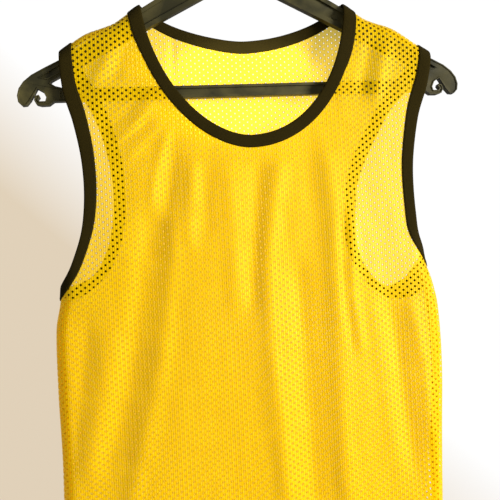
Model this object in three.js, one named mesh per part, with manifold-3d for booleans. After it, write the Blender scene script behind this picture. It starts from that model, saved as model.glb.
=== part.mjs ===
// A sleeveless mesh sports shirt hanging on a moulded plastic hanger.
// Millimetres, +Z up. The shirt's front faces -Y, and +X is the right-hand side as seen from the front.
// The origin is at the inside top of the hanger's hook, where a rail holds it.
import * as THREE from "three";
import { mergeVertices } from "three/addons/utils/BufferGeometryUtils.js";
import Module from "manifold-3d";

// Cloth and edging
const CLOTH_THICKNESS = 1.2;
const SEAM_GAP = 0.3;
const TAPE_THICKNESS = 2.4;
const TAPE_WIDTH = 12;
const HEM_Z = -688;
const HEM_HEIGHT = 22;
const HEM_EXTRA = 0.8;

// How the two layers close over the shoulders and down the sides
const SHOULDER_ROLL = 14;
const SIDE_ROLL = 14;
const NECK_POINT_X = 95;
const SHOULDER_TIP_LEFT = 171;
const SHOULDER_TIP_RIGHT = 183;

// Neck opening, measured along the cloth from the shoulder line: drop of each layer, and powers of its curve's two halves
const NECK_CENTRE_X = 1.6;
const NECK_HALF_WIDTH = 96.6;
const NECK_FRONT = { drop: 135, left: 1.8, right: 2.05 };
const NECK_BACK = { drop: 40, left: 1.6, right: 1.75 };

// Hanger
const HANGER_THICKNESS = 8;
const HANGER_WEB = 3;
const RIM = 4;
const ARM_TOP_Z = -59;
const ARM_TOP_SLOPE = 0.6;
const BAR_TOP_Z = -188.5;
const BAR_UNDER_Z = -200;
const HOOK_INNER_RADIUS = 19;
const HOOK_WIDTH = 8;
const HOOK_START_DEGREES = -50;
const HOOK_END_DEGREES = 205;

// Net of the panels and of the edging
const ROLL_STEPS = 5;
const PANEL_COLUMNS = 28;
const PANEL_ROWS = 28;
const RING_STEPS = 34;

// Shoulder line: how far the cloth's middle stands above the top of the hanger's arm
const SHOULDER_LIFT = [
  { x: 0, lift: 4.2 },
  { x: 98, lift: 4.2 },
  { x: 110, lift: 3.1 },
  { x: 119, lift: 2.5 },
  { x: 128, lift: 4.2 },
  { x: 148, lift: 9 },
  { x: 176, lift: 7 },
  { x: 210, lift: 7 },
];

// Half widths down the sides, seen from the front
const SIDE_LINES = [
  { z: -690, left: 191, right: 169 },
  { z: -600, left: 190, right: 172 },
  { z: -530, left: 188.5, right: 175.5 },
  { z: -465, left: 189, right: 179 },
  { z: -410, left: 187.5, right: 178 },
  { z: -385, left: 182.5, right: 173.5 },
  { z: -362, left: 180, right: 166.5 },
  { z: -335, left: 179, right: 166 },
  { z: -290, left: 181, right: 177 },
  { z: -230, left: 184, right: 190 },
  { z: -150, left: 187, right: 200 },
  { z: -90, left: 188, right: 201 },
];

// Distance of each layer from the hanger's middle plane
const LAYER_DEPTH = [
  { z: -690, front: 22, back: 23 },
  { z: -500, front: 19, back: 20 },
  { z: -360, front: 16.5, back: 18 },
  { z: -240, front: 13.5, back: 14.5 },
  { z: -170, front: 12, back: 12.5 },
  { z: -90, front: 11, back: 11 },
];

// Free edge of each armhole, from the shoulder down to the side seam, seen from the front
const ARMHOLES = {
  left: {
    tip: SHOULDER_TIP_LEFT,
    seamZ: -371,
    front: [
      { x: 169, z: -190 },
      { x: 161, z: -222 },
      { x: 155.5, z: -255 },
      { x: 154.5, z: -288 },
      { x: 158, z: -318 },
      { x: 166, z: -343 },
      { x: 174, z: -360 },
    ],
    back: [
      { x: 162, z: -180 },
      { x: 146, z: -208 },
      { x: 135, z: -242 },
      { x: 130, z: -280 },
      { x: 132, z: -312 },
      { x: 140, z: -342 },
      { x: 155, z: -364 },
    ],
  },
  right: {
    tip: SHOULDER_TIP_RIGHT,
    seamZ: -359,
    front: [
      { x: 177, z: -192 },
      { x: 165, z: -226 },
      { x: 158, z: -260 },
      { x: 155.5, z: -290 },
      { x: 156, z: -318 },
      { x: 159, z: -342 },
    ],
    back: [
      { x: 173, z: -186 },
      { x: 146, z: -216 },
      { x: 123, z: -255 },
      { x: 109, z: -290 },
      { x: 106, z: -325 },
      { x: 112, z: -365 },
      { x: 133, z: -389 },
      { x: 152, z: -384 },
    ],
  },
};

// Largest folds: ridges (height above zero) and troughs from one end to the other, seen from the front
const FRONT_FOLDS = [
  { x0: -42, z0: -262, x1: -58, z1: -400, width: 24, height: 6 },
  { x0: -60, z0: -400, x1: -122, z1: -640, width: 30, height: 8 },
  { x0: -78, z0: -250, x1: -92, z1: -430, width: 18, height: -6 },
  { x0: -100, z0: -430, x1: -168, z1: -660, width: 26, height: -8 },
  { x0: 6, z0: -360, x1: 16, z1: -688, width: 20, height: 7 },
  { x0: 57, z0: -250, x1: 50, z1: -688, width: 17, height: -7 },
  { x0: 88, z0: -245, x1: 80, z1: -688, width: 20, height: 7 },
  { x0: 128, z0: -400, x1: 122, z1: -688, width: 20, height: -5 },
  { x0: 152, z0: -390, x1: 150, z1: -520, width: 14, height: 4 },
  { x0: -84, z0: -198, x1: -122, z1: -252, width: 9, height: 4 },
  { x0: -92, z0: -178, x1: -140, z1: -232, width: 10, height: -3.5 },
  { x0: -76, z0: -226, x1: -112, z1: -310, width: 10, height: 3.5 },
  { x0: -124, z0: -150, x1: -140, z1: -215, width: 11, height: 4 },
  { x0: 122, z0: -165, x1: 134, z1: -250, width: 12, height: 4 },
];

const BACK_FOLDS = [
  { x0: -74, z0: -160, x1: -82, z1: -420, width: 18, height: 5 },
  { x0: -30, z0: -200, x1: -24, z1: -640, width: 22, height: -6 },
  { x0: 26, z0: -190, x1: 34, z1: -640, width: 24, height: 6 },
  { x0: 80, z0: -240, x1: 92, z1: -660, width: 20, height: -6 },
  { x0: -110, z0: -400, x1: -132, z1: -660, width: 24, height: 6 },
  { x0: 132, z0: -430, x1: 128, z1: -660, width: 20, height: 6 },
];

// Hanger outline, right half, from the top of the neck round the drooping end to the bar's underside
const HANGER_OUTLINE = [
  { x: 4.5, z: -50 },
  { x: 5.5, z: -57 },
  { x: 12, z: -64 },
  { x: 24, z: -73.4 },
  { x: 172, z: -162.2 },
  { x: 186, z: -169 },
  { x: 197, z: -174.8 },
  { x: 204.5, z: -180.8 },
  { x: 209, z: -187 },
  { x: 210.8, z: -193.5 },
  { x: 210, z: -199.5 },
  { x: 206.6, z: -203 },
  { x: 202.6, z: -202.6 },
  { x: 199, z: -198.6 },
  { x: 192.3, z: -187.6 },
  { x: 186.8, z: -191 },
  { x: 184.7, z: -196 },
  { x: 185.8, z: -199.3 },
  { x: 191.2, z: -199.3 },
  { x: 192.4, z: -197.6 },
  { x: 190.6, z: -195.4 },
  { x: 191.4, z: -193.2 },
  { x: 194.6, z: -194.2 },
  { x: 195.8, z: -198.2 },
  { x: 193.8, z: -202.2 },
  { x: 189.6, z: -203.4 },
  { x: 182.5, z: -203.2 },
  { x: 178, z: BAR_UNDER_Z },
];

// Hanger window between arms and bar, right half
const HANGER_WINDOW = [
  { x: 0, z: -91 },
  { x: 9, z: -92.6 },
  { x: 170, z: -176.6 },
  { x: 179, z: -181 },
  { x: 180.5, z: -183 },
  { x: 176, z: -185.8 },
  { x: 166, z: BAR_TOP_Z },
];

// Recesses that leave the arm and the bar as rims round a thin web, right half
const ARM_RECESS = [
  { x: 26, z: -79.5 },
  { x: 190, z: -177.4 },
  { x: 183, z: -178.4 },
  { x: 150, z: -161.8 },
  { x: 26, z: -96 },
];

const MESH_YELLOW = { color: 0xf7c414, roughness: 0.72, metalness: 0 };
const TAPE_BLACK = { color: 0x2b2618, roughness: 0.85, metalness: 0 };
const PLASTIC_BLACK = { color: 0x262a24, roughness: 0.42, metalness: 0 };

// A smooth curve through the rows of a table, as a function of one of its columns
function smoothColumn(rows, key, column) {
  const sorted = [...rows].sort((a, b) => a[key] - b[key]);
  const slopes = sorted.map((row, i) => {
    const before = sorted[Math.max(i - 1, 0)];
    const after = sorted[Math.min(i + 1, sorted.length - 1)];
    return (after[column] - before[column]) / (after[key] - before[key]);
  });
  return (at) => {
    const first = sorted[0];
    const last = sorted[sorted.length - 1];
    if (at <= first[key]) return first[column];
    if (at >= last[key]) return last[column];
    let i = 0;
    while (at > sorted[i + 1][key]) i += 1;
    const span = sorted[i + 1][key] - sorted[i][key];
    const t = (at - sorted[i][key]) / span;
    const t2 = t * t;
    const t3 = t2 * t;
    return (
      (2 * t3 - 3 * t2 + 1) * sorted[i][column] +
      (t3 - 2 * t2 + t) * span * slopes[i] +
      (3 * t2 - 2 * t3) * sorted[i + 1][column] +
      (t3 - t2) * span * slopes[i + 1]
    );
  };
}

const shoulderLift = smoothColumn(SHOULDER_LIFT, "x", "lift");
const sideHalfWidth = {
  left: smoothColumn(SIDE_LINES, "z", "left"),
  right: smoothColumn(SIDE_LINES, "z", "right"),
};
const layerDepth = {
  front: smoothColumn(LAYER_DEPTH, "z", "front"),
  back: smoothColumn(LAYER_DEPTH, "z", "back"),
};
const layerFolds = { front: FRONT_FOLDS, back: BACK_FOLDS };
const layerSign = { front: -1, back: 1 };

const sideOf = (x) => (x < 0 ? "left" : "right");

// Height of the shoulder line, level across the neck opening
function shoulderZ(x) {
  const across = Math.max(Math.abs(x), NECK_POINT_X);
  return ARM_TOP_Z - ARM_TOP_SLOPE * across + shoulderLift(across);
}

// Height of one fold: a bell across its line, fading towards both ends
function foldHeight(fold, x, z) {
  const dx = fold.x1 - fold.x0;
  const dz = fold.z1 - fold.z0;
  const length = Math.hypot(dx, dz);
  const along = ((x - fold.x0) * dx + (z - fold.z0) * dz) / length;
  const across = ((x - fold.x0) * dz - (z - fold.z0) * dx) / length;
  const middle = (along - length / 2) / (length / 2);
  const fade = 1 / (1 + Math.pow(Math.abs(middle) / 0.95, 6));
  return fold.height * fade * Math.exp(-Math.pow(across / fold.width, 2));
}

// Square of a quarter ellipse's height at a distance in from its edge, negative outside it
function rollSquared(distance, roll) {
  return distance < roll ? 1 - Math.pow(1 - distance / roll, 2) : 1;
}

// Square of a layer's distance from the middle plane, negative outside the shirt's outline
function depthSquared(layer, x, z) {
  const acrossRoll = rollSquared(sideHalfWidth[sideOf(x)](z) - Math.abs(x), SIDE_ROLL);
  const downRoll = rollSquared(shoulderZ(x) - z, SHOULDER_ROLL);
  const folds = layerFolds[layer].reduce((sum, fold) => sum + foldHeight(fold, x, z), 0);
  const depth = layerDepth[layer](z) + folds;
  const both = acrossRoll < 0 && downRoll < 0 ? -1 : 1;
  return both * acrossRoll * downRoll * depth * depth;
}

// A point of a layer and the direction that faces away from the hollow
function clothPoint(layer, x, z) {
  const sign = layerSign[layer];
  const square = depthSquared(layer, x, z);
  const y = sign * Math.sqrt(Math.max(square, 0));
  const step = 0.02;
  const slopeX = (depthSquared(layer, x + step, z) - depthSquared(layer, x - step, z)) / (2 * step);
  const slopeZ = (depthSquared(layer, x, z + step) - depthSquared(layer, x, z - step)) / (2 * step);
  const normal = new THREE.Vector3(-slopeX, 2 * y, -slopeZ);
  if (normal.length() < 1e-6) normal.set(0, 0, 1);
  normal.normalize();
  return { point: new THREE.Vector3(x, y, z), normal };
}

// Depth below a rolled edge of a point that lies a distance along the cloth from it, and back again
function dropOf(distance, roll) {
  const quarter = (Math.PI / 2) * roll;
  return distance < quarter ? roll * (1 - Math.cos(distance / roll)) : roll + distance - quarter;
}

function distanceOf(drop, roll) {
  const quarter = (Math.PI / 2) * roll;
  return drop < roll ? roll * Math.acos(1 - Math.max(drop, 0) / roll) : quarter + drop - roll;
}

// From distances along the cloth, in from the side line and down from the shoulder line, to x and z
function unrolled(side, fromSide, fromShoulder) {
  const sign = side === "left" ? -1 : 1;
  const inward = dropOf(Math.abs(fromSide), SIDE_ROLL);
  const down = dropOf(Math.abs(fromShoulder), SHOULDER_ROLL);
  let x = sign * 180;
  let z = shoulderZ(x) - down;
  for (let pass = 0; pass < 12; pass += 1) {
    x = sign * (sideHalfWidth[side](z) - inward);
    z = shoulderZ(x) - down;
  }
  return { x, z };
}

function rolled(side, x, z) {
  const signed = side === "left" ? -x : x;
  return new THREE.Vector2(
    distanceOf(sideHalfWidth[side](z) - x, SIDE_ROLL),
    distanceOf(shoulderZ(signed) - z, SHOULDER_ROLL),
  );
}

// A closed mesh from rings of points, joined one to the next, round a loop or with end caps
function loftMesh(sections, closedLoop) {
  const perSection = sections[0].length;
  const positions = [];
  sections.forEach((section) => section.forEach((p) => positions.push(p.x, p.y, p.z)));
  const index = [];
  const spans = closedLoop ? sections.length : sections.length - 1;
  for (let i = 0; i < spans; i += 1) {
    const a = i * perSection;
    const b = ((i + 1) % sections.length) * perSection;
    for (let j = 0; j < perSection; j += 1) {
      const k = (j + 1) % perSection;
      index.push(a + j, b + j, b + k, a + j, b + k, a + k);
    }
  }
  if (!closedLoop) {
    const end = (sections.length - 1) * perSection;
    for (let j = 1; j < perSection - 1; j += 1) {
      index.push(0, j, j + 1);
      index.push(end, end + j + 1, end + j);
    }
  }
  const geometry = new THREE.BufferGeometry();
  geometry.setAttribute("position", new THREE.Float32BufferAttribute(positions, 3));
  geometry.setIndex(index);
  return geometry;
}

const wasm = await Module();
wasm.setup();

// A geometry as a solid for joining and cutting, turned right way out
function solidOf(geometry) {
  const bare = geometry.clone();
  bare.deleteAttribute("normal");
  bare.deleteAttribute("uv");
  const merged = mergeVertices(bare, 1e-4);
  const build = (triVerts) =>
    new wasm.Manifold(
      new wasm.Mesh({ numProp: 3, vertProperties: merged.attributes.position.array, triVerts }),
    );
  const triVerts = new Uint32Array(merged.index.array);
  const solid = build(triVerts);
  return solid.volume() < 0 ? build(triVerts.reverse()) : solid;
}

function meshOf(name, solid, look) {
  const mesh = solid.getMesh();
  const positions = [];
  for (let i = 0; i < mesh.numVert; i += 1) {
    for (let axis = 0; axis < 3; axis += 1) {
      positions.push(mesh.vertProperties[i * mesh.numProp + axis]);
    }
  }
  const geometry = new THREE.BufferGeometry();
  geometry.setAttribute("position", new THREE.Float32BufferAttribute(positions, 3));
  geometry.setIndex(Array.from(mesh.triVerts));
  geometry.computeVertexNormals();
  const made = new THREE.Mesh(geometry, new THREE.MeshStandardMaterial(look));
  made.name = name;
  return made;
}

// Edging tapes
// The free edge and the sewn edge of a tape are two runs of matching points on a layer
function superellipse(halfWidth, drop, powers, t) {
  const angle = Math.PI * t;
  const power = Math.cos(angle) < 0 ? powers.left : powers.right;
  const across = Math.sign(Math.cos(angle)) * Math.pow(Math.abs(Math.cos(angle)), 2 / power);
  const down = Math.pow(Math.sin(angle), 2 / power);
  return { x: NECK_CENTRE_X + halfWidth * across, down: drop * down };
}

// Steps along a run, closer together where the cloth rolls over an edge at either end
function easedSteps(count) {
  return Array.from({ length: count + 1 }, (_, i) => {
    const t = i / count;
    return t - (0.85 * Math.sin(2 * Math.PI * t)) / (2 * Math.PI);
  });
}

function neckRun(layer) {
  const neck = layer === "front" ? NECK_FRONT : NECK_BACK;
  const place = (extra, t) => {
    const spot = superellipse(NECK_HALF_WIDTH + extra, neck.drop + extra, neck, t);
    return { x: spot.x, z: shoulderZ(spot.x) - dropOf(Math.max(spot.down, 0), SHOULDER_ROLL) };
  };
  return easedSteps(RING_STEPS).map((t) => {
    const turn = layer === "front" ? 1 - t : t;
    return { layer, edgeAt: (inward) => place(inward, turn) };
  });
}

// Half of an armhole's tape: down the front from shoulder to side seam, or back up behind
function armholeRun(side, layer) {
  const hole = ARMHOLES[side];
  const sign = side === "left" ? -1 : 1;
  const tipZ = shoulderZ(sign * hole.tip);
  const tip = new THREE.Vector2(distanceOf(sideHalfWidth[side](tipZ) - hole.tip, SIDE_ROLL), 0);
  const seamX = sign * sideHalfWidth[side](hole.seamZ);
  const seam = new THREE.Vector2(0, distanceOf(shoulderZ(seamX) - hole.seamZ, SHOULDER_ROLL));
  const rows = hole[layer].map((row) => rolled(side, row.x, row.z));
  const beforeTip = new THREE.Vector2(tip.x, -rows[0].y);
  const afterSeam = new THREE.Vector2(-rows[rows.length - 1].x, seam.y);
  const points = [beforeTip, tip, ...rows, seam, afterSeam];
  const curve = new THREE.SplineCurve(points);
  const spans = points.length - 1;
  const run = easedSteps(RING_STEPS).map((t) => {
    const at = (1 + t * (spans - 2)) / spans;
    const spot = curve.getPoint(at);
    const ahead = curve.getPoint(at + 0.002).sub(curve.getPoint(at - 0.002)).normalize();
    let inward = new THREE.Vector2(ahead.y, -ahead.x);
    if (t < 1e-6) inward = new THREE.Vector2(1, 0);
    if (t > 1 - 1e-6) inward = new THREE.Vector2(0, 1);
    const fromSide = t > 1 - 1e-6 ? 0 : Math.max(spot.x, 0);
    const fromShoulder = t < 1e-6 ? 0 : Math.max(spot.y, 0);
    const edgeAt = (distance) => {
      const acrossTo = Math.max(fromSide + inward.x * distance, 0);
      const downTo = Math.max(fromShoulder + inward.y * distance, 0);
      return unrolled(side, acrossTo, downTo);
    };
    return { layer, edgeAt };
  });
  return layer === "front" ? run : run.reverse();
}

// Sections of a tape round a whole opening; the two layers share the sections where they meet
function tapeSolid(runs, freeEdge, sewnEdge, thickness) {
  const stations = [];
  runs.forEach((run) => stations.push(...run.slice(0, -1)));
  const shares = [0, 0.5, 1];
  const sections = stations.map(({ layer, edgeAt }) => {
    const placed = shares.map((share) => {
      const spot = edgeAt(freeEdge + (sewnEdge - freeEdge) * share);
      return clothPoint(layer, spot.x, spot.z);
    });
    const swell = [0.86, 1, 0.86];
    const outer = placed.map(({ point, normal }, i) =>
      point.clone().addScaledVector(normal, (swell[i] * thickness) / 2),
    );
    const inner = placed.map(({ point, normal }, i) =>
      point.clone().addScaledVector(normal, (-swell[i] * thickness) / 2),
    );
    return [...outer, ...inner.reverse()];
  });
  return solidOf(loftMesh(sections, true));
}

const openingRuns = {
  neck: [neckRun("front"), neckRun("back")],
  left: [armholeRun("left", "front"), armholeRun("left", "back")],
  right: [armholeRun("right", "front"), armholeRun("right", "back")],
};

// The cutter that clears a tape's place from a panel is thicker than the tape and reaches less far out
const CUT_THICKNESS = 7;
const CUT_WIDTH = 8;

function tape(opening) {
  return tapeSolid(openingRuns[opening], 0, TAPE_WIDTH, TAPE_THICKNESS);
}

// What a panel loses round an opening: the tape's place and the seam's gap
function tapeCutter(opening) {
  return tapeSolid(openingRuns[opening], TAPE_WIDTH - CUT_WIDTH, TAPE_WIDTH + SEAM_GAP, CUT_THICKNESS);
}

// Shares of a panel's width or height, close together where the cloth rolls over
function rollShares(roll) {
  const quarter = Math.PI / 2;
  return Array.from({ length: ROLL_STEPS + 1 }, (_, i) => roll * (1 - Math.cos((quarter * i) / ROLL_STEPS)));
}

// One wall of cloth from side to side and from the shoulder line to the hem
function panelSolid(layer) {
  const edge = rollShares(SIDE_ROLL);
  const top = rollShares(SHOULDER_ROLL);
  const columns = 2 * ROLL_STEPS + PANEL_COLUMNS + 1;
  const rows = ROLL_STEPS + PANEL_ROWS + 2;
  const xAt = (i, z) => {
    const left = -sideHalfWidth.left(z);
    const right = sideHalfWidth.right(z);
    if (i <= ROLL_STEPS) return left + edge[i];
    if (i >= columns - 1 - ROLL_STEPS) return right - edge[columns - 1 - i];
    const share = (i - ROLL_STEPS) / PANEL_COLUMNS;
    return left + SIDE_ROLL + share * (right - left - 2 * SIDE_ROLL);
  };
  const zAt = (j, x) => {
    const line = shoulderZ(x);
    if (j <= ROLL_STEPS) return line - top[j];
    if (j === rows - 1) return HEM_Z;
    const hemTop = HEM_Z + HEM_HEIGHT;
    const share = (j - ROLL_STEPS) / (rows - 2 - ROLL_STEPS);
    return line - SHOULDER_ROLL + share * (hemTop - line + SHOULDER_ROLL);
  };
  const sign = layerSign[layer];
  const outer = [];
  const inner = [];
  for (let j = 0; j < rows; j += 1) {
    for (let i = 0; i < columns; i += 1) {
      let x = (i / (columns - 1) - 0.5) * 370;
      let z = zAt(j, x);
      for (let pass = 0; pass < 12; pass += 1) {
        x = xAt(i, z);
        z = zAt(j, x);
      }
      const { point, normal } = clothPoint(layer, x, z);
      point.y += (sign * SEAM_GAP) / 2;
      const inHem = z <= HEM_Z + HEM_HEIGHT / 2 ? HEM_EXTRA : 0;
      outer.push(point.clone().addScaledVector(normal, CLOTH_THICKNESS / 2 + inHem));
      inner.push(point.clone().addScaledVector(normal, -CLOTH_THICKNESS / 2));
    }
  }
  const positions = [...outer, ...inner].flatMap((p) => [p.x, p.y, p.z]);
  const far = outer.length;
  const index = [];
  const at = (j, i) => j * columns + i;
  for (let j = 0; j < rows - 1; j += 1) {
    for (let i = 0; i < columns - 1; i += 1) {
      const [a, b, c, d] = [at(j, i), at(j, i + 1), at(j + 1, i + 1), at(j + 1, i)];
      index.push(a, b, c, a, c, d);
      index.push(far + a, far + c, far + b, far + a, far + d, far + c);
    }
  }
  const rim = [];
  for (let i = 0; i < columns - 1; i += 1) rim.push(at(0, i));
  for (let j = 0; j < rows - 1; j += 1) rim.push(at(j, columns - 1));
  for (let i = columns - 1; i > 0; i -= 1) rim.push(at(rows - 1, i));
  for (let j = rows - 1; j > 0; j -= 1) rim.push(at(j, 0));
  rim.forEach((a, k) => {
    const b = rim[(k + 1) % rim.length];
    index.push(a, far + a, far + b, a, far + b, b);
  });
  const geometry = new THREE.BufferGeometry();
  geometry.setAttribute("position", new THREE.Float32BufferAttribute(positions, 3));
  geometry.setIndex(index);
  return solidOf(geometry);
}

// The panel that stays when the tapes' places are cut out of the whole wall
function cutPanel(layer) {
  const cut = ["neck", "left", "right"].reduce(
    (solid, opening) => solid.subtract(tapeCutter(opening)),
    panelSolid(layer),
  );
  const pieces = cut.decompose();
  return pieces.reduce((largest, piece) => (piece.volume() > largest.volume() ? piece : largest));
}

// Hanger
// Both halves of an outline given for the right half
function mirrored(rows) {
  const right = rows.map((row) => new THREE.Vector2(row.x, row.z));
  const left = rows
    .filter((row) => row.x > 0)
    .map((row) => new THREE.Vector2(-row.x, row.z))
    .reverse();
  return new THREE.Shape([...right, ...left]);
}

// An outline in X and Z, extruded along Y between two depths
function slab(shape, yFrom, yTo) {
  const geometry = new THREE.ExtrudeGeometry(shape, { depth: yTo - yFrom, bevelEnabled: false });
  geometry.rotateX(Math.PI / 2);
  geometry.translate(0, yTo, 0);
  return solidOf(geometry);
}

function recessShape(rows, sign) {
  return new THREE.Shape(rows.map((row) => new THREE.Vector2(sign * row.x, row.z)));
}

// Hook: a rounded bar swept up from the neck and round the rail, ending in a blunt tip
function hookSolid() {
  const centreRadius = HOOK_INNER_RADIUS + HOOK_WIDTH / 2;
  const path = [new THREE.Vector2(0, -66), new THREE.Vector2(1, -54), new THREE.Vector2(7.5, -44.5)];
  const arcSteps = 22;
  for (let i = 0; i <= arcSteps; i += 1) {
    const degrees = HOOK_START_DEGREES + ((HOOK_END_DEGREES - HOOK_START_DEGREES) * i) / arcSteps;
    const angle = THREE.MathUtils.degToRad(degrees);
    const across = centreRadius * Math.cos(angle);
    path.push(new THREE.Vector2(across, centreRadius * Math.sin(angle) - HOOK_INNER_RADIUS));
  }
  const sides = 10;
  const sections = path.map((spot, i) => {
    const before = path[Math.max(i - 1, 0)];
    const after = path[Math.min(i + 1, path.length - 1)];
    const ahead = after.clone().sub(before).normalize();
    const size = i === path.length - 1 ? 0.6 : 1;
    return Array.from({ length: sides }, (_, k) => {
      const angle = (2 * Math.PI * (k + 0.5)) / sides;
      const reach = ((size * HOOK_WIDTH) / 2) * Math.cos(angle);
      const depth = ((size * HANGER_THICKNESS) / 2) * 0.9 * Math.sin(angle);
      return new THREE.Vector3(spot.x + ahead.y * reach, depth, spot.y - ahead.x * reach);
    });
  });
  return solidOf(loftMesh(sections, false));
}

function hangerSolid() {
  const half = HANGER_THICKNESS / 2;
  const reach = half + 1;
  let solid = slab(mirrored(HANGER_OUTLINE), -half, half);
  solid = solid.subtract(slab(mirrored(HANGER_WINDOW), -reach, reach));
  const barRecess = mirrored([
    { x: 0, z: BAR_TOP_Z - RIM / 1.6 },
    { x: 172, z: BAR_TOP_Z - RIM / 1.6 },
    { x: 172, z: BAR_UNDER_Z + RIM / 1.6 },
    { x: 0, z: BAR_UNDER_Z + RIM / 1.6 },
  ]);
  [[-reach, -HANGER_WEB / 2], [HANGER_WEB / 2, reach]].forEach(([from, to]) => {
    solid = solid.subtract(slab(barRecess, from, to));
    [-1, 1].forEach((sign) => {
      solid = solid.subtract(slab(recessShape(ARM_RECESS, sign), from, to));
    });
  });
  return solid.add(hookSolid());
}

const shirt = new THREE.Group();
shirt.add(meshOf("front_panel", cutPanel("front"), MESH_YELLOW));
shirt.add(meshOf("back_panel", cutPanel("back"), MESH_YELLOW));
shirt.add(meshOf("neck_binding", tape("neck"), TAPE_BLACK));
shirt.add(meshOf("armhole_binding_wearer_right", tape("left"), TAPE_BLACK));
shirt.add(meshOf("armhole_binding_wearer_left", tape("right"), TAPE_BLACK));

const part = new THREE.Group();
part.add(shirt);
part.add(meshOf("hanger", hangerSolid(), PLASTIC_BLACK));

export default part;
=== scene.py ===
"""A sleeveless mesh sports shirt on a moulded plastic hanger, laid out as a Blender add-on."""

import math

import bmesh
import bpy
import numpy as np
from mathutils import Matrix, Vector


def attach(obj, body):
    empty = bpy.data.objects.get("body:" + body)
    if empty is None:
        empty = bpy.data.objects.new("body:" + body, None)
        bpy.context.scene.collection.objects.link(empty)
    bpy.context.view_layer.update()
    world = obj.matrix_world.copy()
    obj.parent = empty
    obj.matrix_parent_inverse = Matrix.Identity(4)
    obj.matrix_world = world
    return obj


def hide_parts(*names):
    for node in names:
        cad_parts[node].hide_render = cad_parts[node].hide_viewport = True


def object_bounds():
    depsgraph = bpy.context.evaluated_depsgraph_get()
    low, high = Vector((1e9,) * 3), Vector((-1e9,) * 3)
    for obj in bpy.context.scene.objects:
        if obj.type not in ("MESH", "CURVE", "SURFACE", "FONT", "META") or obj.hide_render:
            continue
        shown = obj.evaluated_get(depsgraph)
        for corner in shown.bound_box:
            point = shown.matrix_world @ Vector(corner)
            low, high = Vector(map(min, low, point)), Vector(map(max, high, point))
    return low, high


bl_info = {
    "name": "Hanging mesh shirt",
    "version": (1, 0, 0),
    "blender": (4, 5, 0),
    "location": "View3D > Sidebar > Shirt",
    "description": "Builds a sleeveless mesh shirt, its edging tapes, seams, stitches and hanger",
    "category": "Object",
}

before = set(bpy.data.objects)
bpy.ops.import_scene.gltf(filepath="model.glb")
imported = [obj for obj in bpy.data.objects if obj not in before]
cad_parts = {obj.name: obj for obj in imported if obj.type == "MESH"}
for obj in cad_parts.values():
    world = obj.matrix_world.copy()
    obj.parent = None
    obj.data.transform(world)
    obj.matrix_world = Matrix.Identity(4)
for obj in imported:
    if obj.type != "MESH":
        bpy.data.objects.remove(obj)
CAD_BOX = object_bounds()
MM = 0.001

# Places of the cloth, in millimetres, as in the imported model
HEM_Z = -688.0
SHOULDER_ROLL = 14.0
SIDE_ROLL = 14.0
NECK_POINT_X = 95.0
ARM_TOP_Z = -59.0
ARM_TOP_SLOPE = 0.6
NECK_CENTRE_X = 1.6
NECK_HALF_WIDTH = 96.6
# Neck opening of each layer: drop, then the powers of the curve's left and right half
NECK_SHAPE = {"front": (135.0, 1.8, 2.05), "back": (40.0, 1.6, 1.75)}
LAYER_SIGN = {"front": -1.0, "back": 1.0}
SIDE_SIGN = {"left": -1.0, "right": 1.0}
# A roll of radius r takes up pi / 2 r of cloth over a width of r: the difference at a radius of 1
QUARTER_LEAD = math.pi / 2 - 1
# Rounds in which a place on the hung cloth settles, as each seam's line depends on the other's
HANG_ROUNDS = 14
# Step of the differences that give the cloth's slope
SLOPE_STEP = 0.02

# Where the search for a point by its distances from both seams starts
SEARCH_START_X = 180

# Net: how far the lattice goes before it is cut: across, from how far down, and past the hem
NET_REACH = 230
NET_TOP = 85
NET_PAST_HEM = 12
# Corners that round to the same multiple of this are one, and a face is dropped when the cross product of its
# diagonals, which is twice its area, is no more than this
WELD = 0.05
LEAST_AREA = 0.02
# The net starts at this share of a tape's width, and may pass a seam by this share of the hole spacing
UNDER_TAPE = 0.32
PAST_SEAM = 0.4
# Loops round the openings: points along each edge, and how far up and out they are closed
LOOP_STEPS = 90
LOOP_TOP = -50
LOOP_FAR = 400

# The back's net spreads from this flat place, across and down, which lies this far before the middle plane
STRETCH_POINT = np.array([-88.6, 341.7])
STRETCH_REACH = 695.0
# The hollow's depth that sets the spread is taken at this place across, and no higher than this
STRETCH_ACROSS = 40.0
STRETCH_TOP_Z = -120

# Holes grow by a share up the front's straps: from this place down, over this length, this far from the neck
STRAP_FOOT = 270.0
STRAP_LENGTH = 120
STRAP_MARGIN = 20
STRAP_GROWTH = 0.22
# Holes of slack single cloth are smaller by a share: the back's from this place down, over this length, and
# the front's before the back's armholes, each taken this much larger
SLACK_FOOT = 410.0
SLACK_LENGTH = 40
SLACK_SHRINK = 0.42
BARE_GROWTH = 1.5

# Panel sizes: the body's top, rows in which its width is taken, the shoulder's highest point, the area's grid
UNDERARM_Z = -380
WIDTH_STEPS = 60
HIGH_POINT_X = 107.0
AREA_STEP = 2.0
AREA_DOWN = (90, 690)

# Hem: gap between its layers, shift of its net across in hole spacings and down, and its rounded fold
HEM_GAP = 0.9
HEM_SHIFT = (0.45, 1.3)
HEM_SIDE_GAP = 1.0
HEM_FOLD_RADIUS = 0.55
HEM_FOLD_LIP = 2.4
HEM_FOLD_LIFT = 0.1
HEM_FOLD_STEP = 0.4
HEM_COLUMNS = 181
HEM_TURN = 7

# Seam allowances: width, points across it, thickness at shoulders and sides, and how far they stand inward
SEAM_WIDTH = 8.0
SEAM_STEPS = 5
SHOULDER_SEAM_THICKNESS = 0.5
SIDE_SEAM_THICKNESS = 0.7
SHOULDER_SEAM_LIFT = 0.5
SIDE_SEAM_START = 0.6
SIDE_SEAM_END = 0.5
SIDE_SEAM_ROWS = 160
# How far the seams' ends reach under the tapes
SIDE_SEAM_UNDER = 2
SHOULDER_SEAM_UNDER = 1
SHOULDER_SEAM_COLUMNS = 40
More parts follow.
